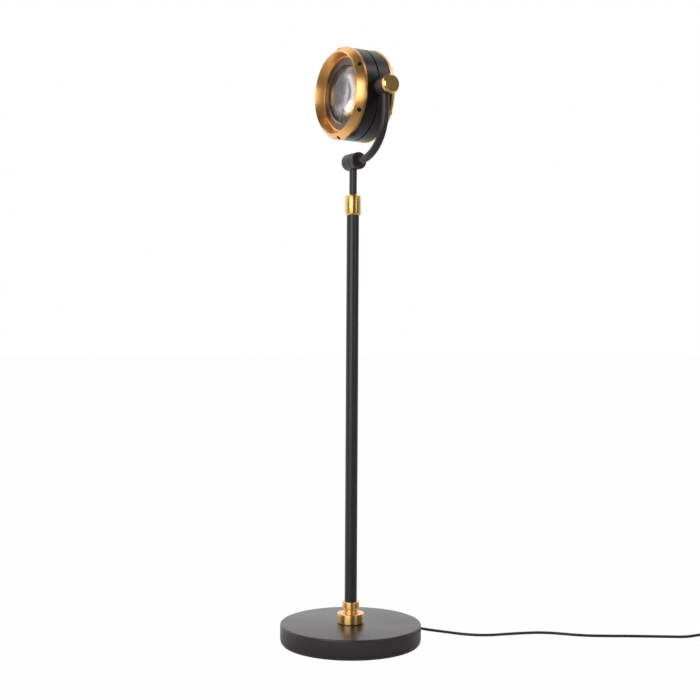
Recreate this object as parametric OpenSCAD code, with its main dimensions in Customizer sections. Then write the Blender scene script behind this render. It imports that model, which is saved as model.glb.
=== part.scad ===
// Floor lamp: a round weighted base, a pole with a height-adjustable rod, a swing arm
// and a drum-shaped spot head that tilts on a side pivot behind a brass knob.
// Millimetres. +Z is up, the head faces -Y, the arm stands on the +X side.
// The origin is the centre of the base, on the floor.

/* [Base] */
// Diameter of the base cover
base_d = 300; // [260:5:340]
// Height of the top of the base above the floor
base_h = 42; // [38:1:50]
// Radius of the rounded top edge of the cover
base_edge_r = 8; // [5:0.5:11]
// Wall of the spun steel cover
cover_wall = 2; // [1.5:0.25:3]
// Shadow gap between the cover and the foot plate
foot_gap = 1.5; // [1:0.25:3]
// Thickness of the felt pad
pad_t = 2; // [1:0.5:2.5]
// Thickness of the steel foot plate
foot_plate_t = 5.5; // [5:0.5:6]
// How far the foot plate stands back from the cover
foot_inset = 0.8; // [0.5:0.1:3]
// Radius of the lower edge of the foot plate
foot_edge_r = 3.5; // [2:0.25:4]
// Thickness of the cast weight
weight_t = 18; // [16:1:22]
// Diameter of the hub of the weight, which carries the cover
weight_hub_d = 64; // [50:2:80]

/* [Collars] */
// Diameter of the brass ring on the base
ring_d = 57; // [50:0.5:64]
// Height of the brass ring
ring_h = 21.5; // [16:0.5:26]
// Edge radius of the brass ring
ring_edge_r = 3.5; // [1:0.5:5]
// Diameter of the socket that holds the pole
socket_d = 37; // [33:0.5:42]
// Height of the socket with its waist
socket_h = 24.5; // [22:0.5:30]
// Diameter of the waist under the socket
waist_d = 24; // [18:0.5:28]
// Height of the straight part of the socket
socket_band_h = 12; // [8:0.5:14]
// Depth of the pole in the socket
socket_depth = 16; // [12:0.5:18]
// Edge radius of the socket
socket_edge_r = 1.5; // [0.5:0.25:2]

/* [Pole] */
// Outer diameter of the pole
pole_d = 25.4; // [23:0.1:28]
// Wall of the pole
pole_wall = 1.5; // [1:0.25:2]
// Height of the top of the pole above the floor
pole_top_z = 925; // [800:5:1000]
// Diameter of the threaded tube through the base
stem_d = 12; // [10:0.5:14]
// Bore of the threaded tube
stem_bore_d = 8; // [6:0.5:9]
// Length of the plug in the foot of the pole
pole_plug_l = 25; // [18:1:35]
// Length of the guide bush in the top of the pole
guide_bush_l = 40; // [25:1:60]

/* [Twist collar] */
// Outer diameter of the brass twist collar
collar_d = 33; // [32.6:0.2:38]
// Length of the twist collar
collar_l = 42; // [39:1:50]
// Chamfer at both ends of the twist collar
collar_chamfer = 3; // [1:0.25:3.25]
// How far the twist collar reaches down over the pole
collar_overlap = 16; // [15:0.5:20]
// Length of the clamping collet
collet_l = 14; // [10:0.5:16]

/* [Rod] */
// Outer diameter of the rod and of the arm tube
rod_d = 16; // [14:0.5:17]
// Wall of the rod and of the arm tube
rod_wall = 1.5; // [1:0.25:2.5]
// Length of the rod below the knuckle
rod_l = 536; // [480:4:560]
// Length of the nylon ring that slides in the pole
slide_ring_l = 20; // [12:1:30]

/* [Knuckle] */
// Height of the knuckle axis above the floor, at rest
knuckle_z = 1022.5; // [1018:0.5:1040]
// Diameter of the knuckle, of the arm eye and of the pivot boss
knuckle_d = 36; // [32:0.5:40]
// Reach of the fixed half of the knuckle to the side of the arm
knuckle_right = 8; // [8:0.5:12]
// Reach of the fixed half of the knuckle to the other side, without its cap
knuckle_left = 16; // [16:0.5:20]
// Length of the rounded end cap
knuckle_cap_l = 6; // [6:0.5:8]
// Thickness of the friction washers
washer_t = 1.2; // [0.8:0.1:2]
// Length of the turning half of the knuckle
arm_hub_l = 15; // [12:0.5:18]
// Diameter of the knuckle shaft and of the knob screw
shaft_d = 10; // [8:0.5:11]

/* [Arm] */
// Bend radius of the arm at its centre line
arm_bend_r = 92; // [80:0.5:96]
// Height of the knuckle axis below the lowest point of the drum
arm_clear = 44.8; // [40:0.2:60]
// Length of the pivot boss, from the drum to the friction washer
boss_l = 12.3; // [10:0.1:16]
// Width of the arm eye along the tilt axis
arm_eye_w = 23; // [20:0.5:26]

/* [Head] */
// Outer diameter of the drum body
drum_d = 192.4; // [180:0.4:196]
// Wall of the drum body
drum_wall = 2.5; // [2:0.25:3]
// Front edge of the drum, ahead of the tilt axis
drum_front = 26.4; // [24:0.2:30]
// Rear edge of the drum, behind the tilt axis
drum_rear = 33.4; // [31:0.2:38]
// Middle of the groove between the drum halves, behind the tilt axis
groove_at = 3.7; // [2:0.1:6]
// Width of the groove between the drum halves
groove_w = 1.6; // [1:0.1:2.5]
// Length of the spigot that joins the drum halves
spigot_l = 8; // [5:0.5:12]

/* [Front bezel] */
// How far the bezels stand out from the drum
bezel_proud = 1; // [0.2:0.1:2.5]
// Length of the cylindrical rim of the bezel
bezel_rim = 6; // [4:0.25:8]
// Length of the bevel along the head axis
bezel_bevel = 13.1; // [10:0.1:16]
// Width of the bevel across the head axis
bevel_w = 11.7; // [10:0.1:14]
// Width of the flat on the lip
lip_w = 1.2; // [0.8:0.1:2]
// How much the bore narrows from the lip to the lens ring
bore_taper = 6.8; // [5:0.1:9]
// Depth of the bore from the lip to the lens ring
bore_depth = 20.5; // [18:0.5:22]
// Width of the shoulder that holds the lens ring
shoulder_w = 1.8; // [1:0.1:3]
// Thickness of that shoulder
shoulder_t = 1; // [0.6:0.1:1.5]
// Depth of the bezel inside the drum
bezel_tail = 14.4; // [13:0.2:16]
// Wall around the parts that the bezel holds
bezel_wall = 3; // [2:0.25:4]
// Distance of the front screws from the rim edge, along the bevel
screw_from_rim = 4.4; // [4.4:0.1:7]
// Depth of the heads of the front screws below the bevel
screw_sink = 1.6; // [0.5:0.1:2]
// Number of screws in each bezel
screw_count = 6; // [4:1:8]
// Head diameter of the bezel screws
screw_head_d = 7.6; // [6:0.2:8]
// Head height of the bezel screws
screw_head_h = 2.2; // [1.8:0.1:3]

/* [Lens and light] */
// Width of the dark ring around the lens
lens_border = 16.5; // [12:0.5:22]
// Rise of the front face of the lens
lens_rise = 14; // [10:0.5:15]
// Rise of the rear face of the lens
lens_back_rise = 4; // [2:0.5:6]
// Width of the flange around the lens
lens_flange = 5; // [3:0.25:6]
// Thickness of the lens flange
lens_flange_t = 7; // [5:0.25:7]
// Thickness of the dark ring around the lens
lens_ring_t = 2.5; // [1.5:0.25:3]
// Width of the opening at the back of the light cone
cone_throat = 22; // [18:1:30]
// Depth of the light cone
cone_depth = 29.5; // [26:0.5:30]
// Thickness of the light cone
cone_t = 1; // [0.8:0.1:1.5]
// Diameter of the heat sink
sink_d = 96; // [80:2:110]
// Number of fins on the heat sink
fin_count = 9; // [7:2:13]

/* [Rear bezel] */
// Length of the cylindrical rim of the rear bezel
rear_rim = 5; // [4:0.25:7]
// Length of the rear bevel along the head axis
rear_bevel = 4; // [3:0.25:5]
// Width of the rear bevel across the head axis
rear_bevel_w = 3.2; // [2:0.1:5]
// Width of the flat rear face of the bezel
rear_face_w = 10; // [9.5:0.5:14]
// Thickness of the rear cover
rear_cover_t = 2.5; // [2:0.25:3]
// Height of the raised middle of the rear cover
rear_cover_step = 2; // [1:0.25:3]
// Distance of that step from the opening of the bezel
rear_step_in = 22; // [15:1:40]

/* [Knob] */
// Diameter of the tilt knob
knob_d = 39.2; // [34:0.4:44]
// Thickness of the tilt knob
knob_t = 10; // [8:0.5:14]
// Diameter of the flat face of the knob
knob_face_d = 32.4; // [28:0.4:33]
// Length of the bevel of the knob
knob_bevel = 3.7; // [2:0.1:5]
// Length of the neck of the knob
knob_neck = 4; // [3:0.25:6]

/* [Cord fittings] */
// Diameter of the mains cord
cord_d = 6; // [5:0.25:6.5]
// Height of the cord where it leaves the base
gland_z = 8; // [7:0.25:9]
// Length of the tapered strain relief outside the base
gland_tail = 22; // [20:1:30]
// Length of the foot switch
switch_l = 62; // [56:1:70]
// Width of the foot switch
switch_w = 30; // [26:0.5:34]
// Height of the foot switch without its button
switch_h = 19; // [18:0.5:24]
// Diameter of the foot button
button_d = 18; // [14:0.5:20]
// Travel of the foot button
button_travel = 2.5; // [1.5:0.25:3]
// Width of the plug
plug_w = 35; // [30:0.5:38]
// Thickness of the plug
plug_t = 13.7; // [13:0.1:16]
// Distance between the plug pins
pin_pitch = 18.6; // [18:0.1:19.4]

/* [Hidden] */
$fn = 96;

// Colours, as the lamp shows them
black_paint = [0.10, 0.10, 0.105];
base_paint = [0.17, 0.17, 0.175];
brass_colour = [0.86, 0.62, 0.32];
bronze_colour = [0.30, 0.20, 0.12];
steel_colour = [0.60, 0.61, 0.63];
iron_colour = [0.22, 0.22, 0.23];
rubber_colour = [0.08, 0.08, 0.08];
nylon_colour = [0.82, 0.80, 0.74];
glass_colour = [0.70, 0.74, 0.78, 0.6];
felt_colour = [0.13, 0.13, 0.14];

// Clearances
fit = 0.05;        // radial clearance of a shaft or tube in its bore
face_gap = 0.3;    // gap between faces that turn past each other
loose = 0.5;       // gap around what drops into a housing
skin = 0.01;       // overlap of joined solids inside one piece
cut = 1;           // how far a cutting solid runs past a face

// Base
base_r = base_d / 2;
cover_in_r = base_r - cover_wall;
cover_in_z = base_h - cover_wall;
foot_r = base_r - foot_inset;
foot_top = pad_t + foot_plate_t;
cover_rim_z = foot_top + foot_gap;
weight_top = foot_top + weight_t;
weight_r = cover_in_r - loose;
stem_r = stem_d / 2;
nut_flats = stem_d * 11 / 6;
nut_h = 6;
base_washer_t = 2;
washer_margin = 6;
base_washer_r = nut_flats / 2 + washer_margin;
nut_pocket_r = base_washer_r + 2;
nut_pocket_z = foot_top + nut_h + base_washer_t + 1;
stem_z = foot_top + loose;
ring_top = base_h + ring_h;
socket_top = ring_top + socket_h;
pole_z = socket_top - socket_depth;
stem_top = pole_z + pole_plug_l - 2;

// Cord passage in the base: a notch in the rim and foot plate, and a channel in the weight
gland_r = 5;
gland_in = 12;
gland_flange_r = 6.5;
gland_flange_t = 2;
gland_wall_y = sqrt(pow(cover_in_r, 2) - pow(gland_flange_r, 2)) - fit;
gland_seat = 4;
channel_w = 2 * gland_flange_r + 2 * loose;
channel_top = gland_z + gland_flange_r + loose;
lead_way = 6;
lead_z = foot_top + cord_d / 2 + face_gap;
lead_rise_l = 31;
notch_y = gland_wall_y - gland_in + gland_seat - lead_rise_l - 2;
block = [20, 24, 11];
block_y = 62;
pocket_gap = 2;

// Pole, bush, ferrule and collet
pole_r = pole_d / 2;
pole_in_r = pole_r - pole_wall;
rod_r = rod_d / 2;
rod_in_r = rod_r - rod_wall;
bush_flange_t = 3;
collar_z = pole_top_z - collar_overlap;
collar_top = collar_z + collar_l;
collar_lip = 2;
ferrule_wall = 1.4;
ferrule_r = pole_r + fit + ferrule_wall;
ferrule_seat_t = 3;
ferrule_top = pole_top_z + bush_flange_t + ferrule_seat_t;
ferrule_z = collar_z + collar_lip + face_gap;
collet_top = ferrule_top + collet_l;
collet_foot_r = pole_r - 0.7;
collet_tip_r = rod_r + 2;
collet_slot_w = 1.2;
collet_slots = 2;

// Rod and slide ring
rod_seat = 7.5;
rod_top = knuckle_z - knuckle_d / 2 + rod_seat;
rod_z = rod_top - rod_l;
rod_foot_t = 6;
rod_foot_in = 12;
slide_ring_z = rod_z + face_gap;
rod_shoulder_z = slide_ring_z + slide_ring_l + face_gap;
rod_shoulder_t = 3;
rod_shoulder_r = pole_in_r - 0.7;

// Knuckle
knuckle_r = knuckle_d / 2;
knuckle_edge = 5;
shaft_r = shaft_d / 2;
cap_cavity_r = 12;
cap_cavity_l = 8;
knuckle_nut_flats = 16;
knuckle_nut_t = 4;
hub_x = knuckle_right + washer_t + face_gap;
hub_end = hub_x + arm_hub_l;
tube_seat = 7.5;
hub_edge = 0.8;

// Arm
drum_r = drum_d / 2;
boss_end = drum_r + boss_l;
boss_root = 6;
eye_x = boss_end + washer_t + face_gap;
eye_end = eye_x + arm_eye_w;
arm_x = eye_x + arm_eye_w / 2;
bend_x = arm_x - arm_bend_r;
bend_z = knuckle_z + arm_bend_r;
pivot_z = knuckle_z + arm_clear + drum_r;
arm_top = pivot_z - knuckle_r + tube_seat;

// Head, with its axis along -Y through the pivot height
drum_in_r = drum_r - drum_wall;
spigot_in_r = drum_in_r - fit - drum_wall;
groove_front = -groove_at + groove_w / 2;
groove_back = -groove_at - groove_w / 2;
boss_spigot_r = shaft_r + 3;
boss_hole_r = boss_spigot_r + 2 * fit;
pivot_nut_flats = 22;
pivot_nut_t = 6;
pivot_nut_out = sqrt(pow(spigot_in_r, 2) - pow(pivot_nut_flats / sqrt(3), 2)) - face_gap;
boss_spigot_end = pivot_nut_out - pivot_nut_t - 1;
bezel_r = drum_r + bezel_proud;
lip_r = bezel_r - bevel_w;
bore_r = lip_r - lip_w - bore_taper;
rim_end = drum_front + bezel_rim;
lip_front = rim_end + bezel_bevel;
bezel_back = drum_front - bezel_tail;
seat_r = bore_r + 1.5;
bore_floor = lip_front - bore_depth;
tail_r = drum_in_r - fit;
lip_round = 0.6;
bevel_turn = atan2(bezel_r - lip_r - lip_round, bezel_bevel - lip_round);
screw_shank_r = 2;
screw_shank_l = 9;
socket_flats = 3.6;
socket_cut = 1.2;
screw_turn = 90;

// Lens stack behind the bore floor
lens_r = bore_r - lens_border;
lens_rim_r = lens_r + lens_flange;
lens_front = bore_floor - lens_ring_t;
lens_back = lens_front - lens_flange_t;
lens_sphere_r = (pow(lens_r, 2) + pow(lens_rise, 2)) / (2 * lens_rise);
gasket_t = 1.1;
clamp_t = 2.4;
clamp_front = lens_front;
clamp_step = lens_back - gasket_t;
clamp_back = clamp_step - clamp_t;
clamp_in_r = lens_r - 1;
lens_back_r = clamp_in_r - loose;
lens_back_sphere_r = (pow(lens_back_r, 2) + pow(lens_back_rise, 2)) / (2 * lens_back_rise);
cone_front = clamp_back;
cone_back = cone_front - cone_depth;
cone_r = clamp_in_r - 1;
throat_r = cone_throat / 2;
board_t = 1.6;
emitter_t = 0.6;
emitter_r = throat_r - 2;
board_front = cone_back - emitter_t - loose;
board_back = board_front - board_t;
board_margin = 8;
board_r = throat_r + board_margin;

// Rear of the head
rear_front = -drum_rear;
rear_rim_end = rear_front - rear_rim;
rear_back = rear_rim_end - rear_bevel;
rear_flat_r = bezel_r - rear_bevel_w;
rear_open_r = rear_flat_r - rear_face_w;
rear_lip = 3;
rear_shoulder = rear_back + rear_lip;
rear_cover_front = rear_shoulder + rear_cover_t;
rear_cover_r = rear_open_r + 4;
rear_screw_pcr = (rear_open_r + rear_flat_r) / 2 + 1;
rear_head_d = 8;
rear_head_h = 2.5;
rear_shank_l = 6;
sink_base_t = 3;
fin_t = 1.6;
fin_margin = 6;
sink_front = board_back;
pedestal_r = board_r;

// Knob
knob_r = knob_d / 2;
knob_face_r = knob_face_d / 2;
knob_neck_r = 12;
knob_neck_x = eye_end + face_gap;
knob_x = knob_neck_x + knob_neck;
knob_end = knob_x + knob_t;
knob_edge = 0.8;

// Mains cord: points that the free cord follows from the strain relief to the straight
cord_r = cord_d / 2;
cord_points = [
    [0, 168, 8], [0, 173, 8], [2, 183, 6.8], [6, 192, 4.8], [14, 202, 3.4], [27, 211, 3],
    [43, 221, 3], [60, 231, 3], [78, 243, 3], [94, 258, 3], [107, 275, 3],
    [116, 294, 3], [122, 314, 3], [128, 334, 3], [135, 355, 3], [143, 376, 3],
    [153, 396, 3], [168, 415, 3], [187, 432, 3], [207, 449, 3], [226, 469, 3],
    [243, 493, 3], [259, 518, 3], [275, 544, 3]
];
// From the last of those points the cord runs straight, at this heading in plan
straight_from = [275, 544];
heading = 56;
// Stations along the straight and the height of the cord there
straight_points = [
    [30, 3], [60, 3], [90, 3], [112, 3], [130, 4.2], [144, 6.6], [156, 8], [189, 8],
    [222, 8], [233, 6.6], [245, 4.2], [256, 3]
];
coil_at = 262;
switch_at = 158;
side_count = 8;
ring_step = 2;

// Coil of the length that is put away: two layers that spiral in and out again
coil_pitch = cord_d + 0.6;
coil_inner_r = 26;
coil_turns = 5.5;
coil_rings = 24;
coil_sides = 6;
coil_lie = cord_r;

// Plug
plug_l = 36;
plug_neck = 20;
plug_neck_r = [4, 5.5];
pin_d = 4;
pin_l = 19;
pin_in = 8;
plug_z = plug_t / 2;

// Switch: its halves meet at the height of the cord
switch_split = 8;
switch_wall = 2;
switch_edge = 2;
button_flange = 2;
button_flange_t = 1.9;
button_rise = button_travel + 2.5;
button_round = 1.5;
button_top = switch_h + button_rise;
button_flange_z = button_top - button_rise - switch_wall - face_gap / 2;

// Places a child on the head: x to the side, y up, z ahead of the tilt axis
module on_head() {
    translate([0, 0, pivot_z]) rotate([90, 0, 0]) children();
}

// Places a child with its axis along +X at the given height
module along_x(x, z) {
    translate([x, 0, z]) rotate([0, 90, 0]) children();
}

// Places a child on the straight part of the cord, x along the cord
module on_straight(station) {
    translate([straight_from[0], straight_from[1], 0]) rotate([0, 0, heading])
        translate([station, 0, 0]) children();
}

module tube(r_out, r_in, h) {
    difference() {
        cylinder(r = r_out, h = h);
        translate([0, 0, -cut]) cylinder(r = r_in, h = h + 2 * cut);
    }
}

module hex_nut(flats, r_in, h) {
    difference() {
        cylinder(r = flats / sqrt(3), h = h, $fn = 6);
        translate([0, 0, -cut]) cylinder(r = r_in, h = h + 2 * cut);
    }
}

// Points of a round corner in a profile, from one angle to the other
function corner(x, y, r, from, to, steps = 8) = [
    for (i = [0 : steps]) let (a = from + (to - from) * i / steps)
        [x + r * cos(a), y + r * sin(a)]
];

// Base

module foot_pad() {
    color(felt_colour) cylinder(r = foot_r - foot_edge_r, h = pad_t);
}

// Way of the strain relief through the rim of the base, with room for its flange
module gland_way() {
    translate([0, notch_y, gland_z]) rotate([-90, 0, 0])
        cylinder(r = gland_r + loose, h = base_r - notch_y + cut);
    translate([0, gland_wall_y - gland_flange_t - loose, gland_z]) rotate([-90, 0, 0])
        cylinder(r = gland_flange_r + loose, h = gland_flange_t + loose + face_gap);
}

module foot_plate() {
    top_edge = 0.8;
    color(base_paint) difference() {
        rotate_extrude($fn = 180) polygon(concat(
            [[nut_pocket_r, pad_t]],
            corner(foot_r - foot_edge_r, pad_t + foot_edge_r, foot_edge_r, -90, 0, 6),
            [[foot_r, foot_top - top_edge], [foot_r - top_edge, foot_top],
             [nut_pocket_r, foot_top]]
        ));
        gland_way();
    }
}

module base_weight() {
    color(iron_colour) difference() {
        rotate_extrude() polygon([
            [stem_r + fit, nut_pocket_z], [nut_pocket_r, nut_pocket_z],
            [nut_pocket_r, foot_top], [weight_r, foot_top], [weight_r, weight_top - 4],
            [weight_r - 4, weight_top], [weight_hub_d / 2 + 4, weight_top],
            [weight_hub_d / 2, weight_top + 4], [weight_hub_d / 2, cover_in_z],
            [stem_r + fit, cover_in_z]
        ]);
        translate([-channel_w / 2, block_y, foot_top - cut])
            cube([channel_w, base_r, channel_top - foot_top + cut]);
        translate([-block[0] / 2 - pocket_gap, block_y - pocket_gap, foot_top - cut])
            cube([block[0] + 2 * pocket_gap, block[1] + 2 * pocket_gap,
                  block[2] + pocket_gap + cut]);
        // way of the inner leads from the terminal block to the threaded tube
        translate([-lead_way / 2, 0, foot_top - cut]) cube([lead_way, block_y, lead_way + cut]);
    }
}

module base_cover() {
    rim_roll = 1;
    color(base_paint) difference() {
        rotate_extrude($fn = 180) polygon(concat(
            [[stem_r + fit, cover_in_z], [stem_r + fit, base_h]],
            corner(base_r - base_edge_r, base_h - base_edge_r, base_edge_r, 90, 0, 10),
            corner(base_r - rim_roll, cover_rim_z + rim_roll, rim_roll, 0, -90, 3),
            [[cover_in_r, cover_rim_z]],
            corner(base_r - base_edge_r, base_h - base_edge_r,
                   base_edge_r - cover_wall, 0, 90, 10)
        ));
        // arch over the strain relief
        translate([0, base_r + cut, gland_z]) rotate([90, 0, 0])
            cylinder(r = gland_r + fit, h = base_edge_r);
    }
}

module base_washer() {
    color(steel_colour) translate([0, 0, nut_pocket_z - base_washer_t])
        tube(base_washer_r, stem_r + fit, base_washer_t);
}

module base_nut() {
    color(steel_colour) translate([0, 0, nut_pocket_z - base_washer_t - nut_h])
        hex_nut(nut_flats, stem_r + fit, nut_h);
}

module threaded_tube() {
    color(steel_colour) translate([0, 0, stem_z])
        tube(stem_r, stem_bore_d / 2, stem_top - stem_z);
}

module base_ring() {
    foot_edge = 2;
    color(brass_colour) rotate_extrude($fn = 128) polygon(concat(
        [[stem_r + fit, base_h]],
        corner(ring_d / 2 - foot_edge, base_h + foot_edge, foot_edge, -90, 0, 5),
        corner(ring_d / 2 - ring_edge_r, ring_top - ring_edge_r, ring_edge_r, 0, 90),
        [[stem_r + fit, ring_top]]
    ));
}

module pole_socket() {
    band_z = socket_top - socket_band_h;
    cove = socket_h - socket_band_h;
    color(brass_colour) difference() {
        rotate_extrude($fn = 128) polygon(concat(
            [[stem_r + fit, ring_top], [waist_d / 2, ring_top]],
            [for (i = [1 : 8]) let (a = 90 * i / 8)
                [waist_d / 2 + (socket_d - waist_d) / 2 * (1 - cos(a)),
                 ring_top + cove * sin(a)]],
            [[socket_d / 2, band_z + 1]],
            corner(socket_d / 2 - socket_edge_r, socket_top - socket_edge_r,
                   socket_edge_r, 0, 90, 5),
            [[pole_r + fit, socket_top], [pole_r + fit, pole_z], [stem_r + fit, pole_z]]
        ));
        screw_place() cylinder(r = 2 + fit, h = socket_d);
    }
}

// Radial place of the clamping screw, at the back of the socket
module screw_place() {
    translate([0, pole_r + fit, socket_top - socket_band_h / 2]) rotate([-90, 0, 0])
        children();
}

module socket_screw() {
    depth = socket_d / 2 - pole_r - fit - 0.5;
    color(steel_colour) screw_place() difference() {
        cylinder(r = 2, h = depth);
        translate([0, 0, depth - 1.2]) cylinder(r = 1.1, h = 2, $fn = 6);
    }
}

// Pole

module pole() {
    color(black_paint) translate([0, 0, pole_z])
        tube(pole_r, pole_in_r, pole_top_z - pole_z);
}

module pole_plug() {
    color(steel_colour) translate([0, 0, pole_z])
        tube(pole_in_r - fit, stem_r + fit, pole_plug_l);
}

module guide_bush() {
    color(nylon_colour) rotate_extrude() polygon([
        [rod_r + fit, pole_top_z - guide_bush_l],
        [pole_in_r - fit, pole_top_z - guide_bush_l],
        [pole_in_r - fit, pole_top_z], [pole_r, pole_top_z],
        [pole_r, pole_top_z + bush_flange_t], [rod_r + fit, pole_top_z + bush_flange_t]
    ]);
}

module ferrule() {
    color(steel_colour) rotate_extrude() polygon([
        [pole_r + fit, ferrule_z], [ferrule_r, ferrule_z], [ferrule_r, ferrule_top],
        [rod_r + 1, ferrule_top], [rod_r + 1, ferrule_top - ferrule_seat_t],
        [pole_r + fit, ferrule_top - ferrule_seat_t]
    ]);
}

module collet() {
    color(nylon_colour) difference() {
        rotate_extrude() polygon([
            [rod_r + fit, ferrule_top], [collet_foot_r, ferrule_top],
            [collet_tip_r, collet_top], [rod_r + fit, collet_top]
        ]);
        for (i = [0 : collet_slots - 1]) rotate([0, 0, 45 + 180 * i / collet_slots])
            translate([-rod_d, -collet_slot_w / 2, ferrule_top + 3])
                cube([2 * rod_d, collet_slot_w, collet_l]);
    }
}

module twist_collar() {
    thread_r = ferrule_r + fit;
    taper = 2 * fit;
    r = collar_d / 2;
    color(brass_colour) rotate_extrude($fn = 128) polygon([
        [pole_r + fit, collar_z], [r - collar_chamfer, collar_z],
        [r, collar_z + collar_chamfer], [r, collar_top - collar_chamfer],
        [r - collar_chamfer, collar_top], [rod_r + 2 * fit, collar_top],
        [rod_r + 2 * fit, collet_top + face_gap], [collet_tip_r + taper, collet_top + face_gap],
        [collet_foot_r + taper, ferrule_top + face_gap], [thread_r, ferrule_top + face_gap],
        [thread_r, collar_z + collar_lip], [pole_r + fit, collar_z + collar_lip]
    ]);
}

// Rod

module slide_ring() {
    color(nylon_colour) translate([0, 0, slide_ring_z])
        tube(pole_in_r - fit, rod_r + fit, slide_ring_l);
}

module rod() {
    color(black_paint) rotate_extrude() polygon([
        [rod_in_r, rod_z], [rod_r, rod_z], [rod_r, rod_shoulder_z],
        [rod_shoulder_r, rod_shoulder_z], [rod_shoulder_r, rod_shoulder_z + rod_shoulder_t],
        [rod_r, rod_shoulder_z + rod_shoulder_t], [rod_r, rod_top], [rod_in_r, rod_top]
    ]);
}

module rod_foot() {
    color(steel_colour) rotate_extrude() polygon([
        [rod_in_r - 2, rod_z - rod_foot_t], [rod_shoulder_r, rod_z - rod_foot_t],
        [rod_shoulder_r, rod_z], [rod_in_r - fit, rod_z],
        [rod_in_r - fit, rod_z + rod_foot_in], [rod_in_r - 2, rod_z + rod_foot_in]
    ]);
}

// Knuckle

module knuckle_body() {
    wire_r = 3;
    color(black_paint) difference() {
        along_x(-knuckle_left, knuckle_z)
            cylinder(r = knuckle_r, h = knuckle_left + knuckle_right);
        along_x(-knuckle_left - cut, knuckle_z)
            cylinder(r = shaft_r + fit, h = knuckle_left + knuckle_right + 2 * cut);
        along_x(-knuckle_left - cut, knuckle_z)
            cylinder(r = cap_cavity_r, h = cap_cavity_l + cut);
        translate([0, 0, knuckle_z - knuckle_r - cut])
            cylinder(r = rod_r + fit, h = rod_seat + cut);
        translate([0, 0, knuckle_z - knuckle_r]) cylinder(r = wire_r, h = knuckle_r);
    }
}

module knuckle_cap() {
    cap_x = knuckle_left + knuckle_cap_l;
    color(black_paint) translate([0, 0, knuckle_z]) rotate([0, -90, 0])
        rotate_extrude() polygon(concat(
            [[0, cap_x - 2.5], [0, cap_x]],
            corner(knuckle_r - knuckle_edge, cap_x - knuckle_edge, knuckle_edge, 90, 0, 8),
            [[knuckle_r, knuckle_left], [cap_cavity_r - fit, knuckle_left],
             [cap_cavity_r - fit, knuckle_left - 2], [cap_cavity_r - 1.5, knuckle_left - 2],
             [cap_cavity_r - 1.5, cap_x - 2.5]]
        ));
}

module knuckle_washer() {
    color(rubber_colour) along_x(knuckle_right, knuckle_z)
        tube(knuckle_r - 1.5, shaft_r + fit, washer_t);
}

module knuckle_shaft() {
    shaft_x = -knuckle_left + 1;
    color(steel_colour) along_x(shaft_x, knuckle_z)
        tube(shaft_r, shaft_r - 2, hub_end - tube_seat - shaft_x);
}

module knuckle_nut() {
    color(steel_colour) along_x(cap_cavity_l - knuckle_left - fit - knuckle_nut_t, knuckle_z)
        hex_nut(knuckle_nut_flats, shaft_r + fit, knuckle_nut_t);
}

// Arm

module arm_hub() {
    color(black_paint) translate([0, 0, knuckle_z]) rotate([0, 90, 0]) rotate_extrude()
        polygon([
            [shaft_r + fit, hub_x], [knuckle_r - hub_edge, hub_x],
            [knuckle_r, hub_x + hub_edge], [knuckle_r, hub_end - hub_edge],
            [knuckle_r - hub_edge, hub_end], [rod_r + fit, hub_end],
            [rod_r + fit, hub_end - tube_seat], [shaft_r + fit, hub_end - tube_seat]
        ]);
}

// Straight, quarter bend and straight, as one tube of the given radius
module arm_path(r, over) {
    from_x = hub_end - tube_seat - over;
    along_x(from_x, knuckle_z) cylinder(r = r, h = bend_x - from_x + skin);
    translate([bend_x, 0, bend_z]) rotate([90, 0, 0]) rotate([0, 0, -90])
        rotate_extrude(angle = 90) translate([arm_bend_r, 0]) circle(r = r, $fn = 48);
    translate([arm_x, 0, bend_z - skin]) cylinder(r = r, h = arm_top - bend_z + skin + over);
}

module arm_tube() {
    color(black_paint) difference() {
        arm_path(rod_r, 0);
        arm_path(rod_in_r, cut);
    }
}

module arm_eye() {
    color(black_paint) difference() {
        translate([0, 0, pivot_z]) rotate([0, 90, 0]) rotate_extrude() polygon([
            [shaft_r + fit, eye_x], [knuckle_r - hub_edge, eye_x],
            [knuckle_r, eye_x + hub_edge], [knuckle_r, eye_end - hub_edge],
            [knuckle_r - hub_edge, eye_end], [shaft_r + fit, eye_end]
        ]);
        translate([arm_x, 0, pivot_z - knuckle_r - cut])
            cylinder(r = rod_r + fit, h = tube_seat + cut);
    }
}

// Tilt pivot

module pivot_washer() {
    color(rubber_colour) along_x(boss_end, pivot_z)
        tube(knuckle_r - 1.5, shaft_r + fit, washer_t);
}

module pivot_boss() {
    color(black_paint) difference() {
        union() {
            difference() {
                along_x(drum_r - boss_root, pivot_z)
                    cylinder(r = knuckle_r, h = boss_l + boss_root);
                on_head() translate([0, 0, -drum_d / 2]) cylinder(r = drum_r, h = drum_d, $fn = 180);
            }
            along_x(boss_spigot_end, pivot_z)
                cylinder(r = boss_spigot_r, h = boss_end - boss_spigot_end - 1);
        }
        along_x(boss_spigot_end - cut, pivot_z)
            cylinder(r = shaft_r + fit, h = boss_end - boss_spigot_end + 2 * cut);
    }
}

module pivot_nut() {
    color(steel_colour) along_x(pivot_nut_out - pivot_nut_t, pivot_z)
        hex_nut(pivot_nut_flats, boss_spigot_r + fit, pivot_nut_t);
}

module knob_screw() {
    color(steel_colour) along_x(boss_spigot_end + 1, pivot_z)
        cylinder(r = shaft_r, h = knob_x + 4 - boss_spigot_end - 1);
}

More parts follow.
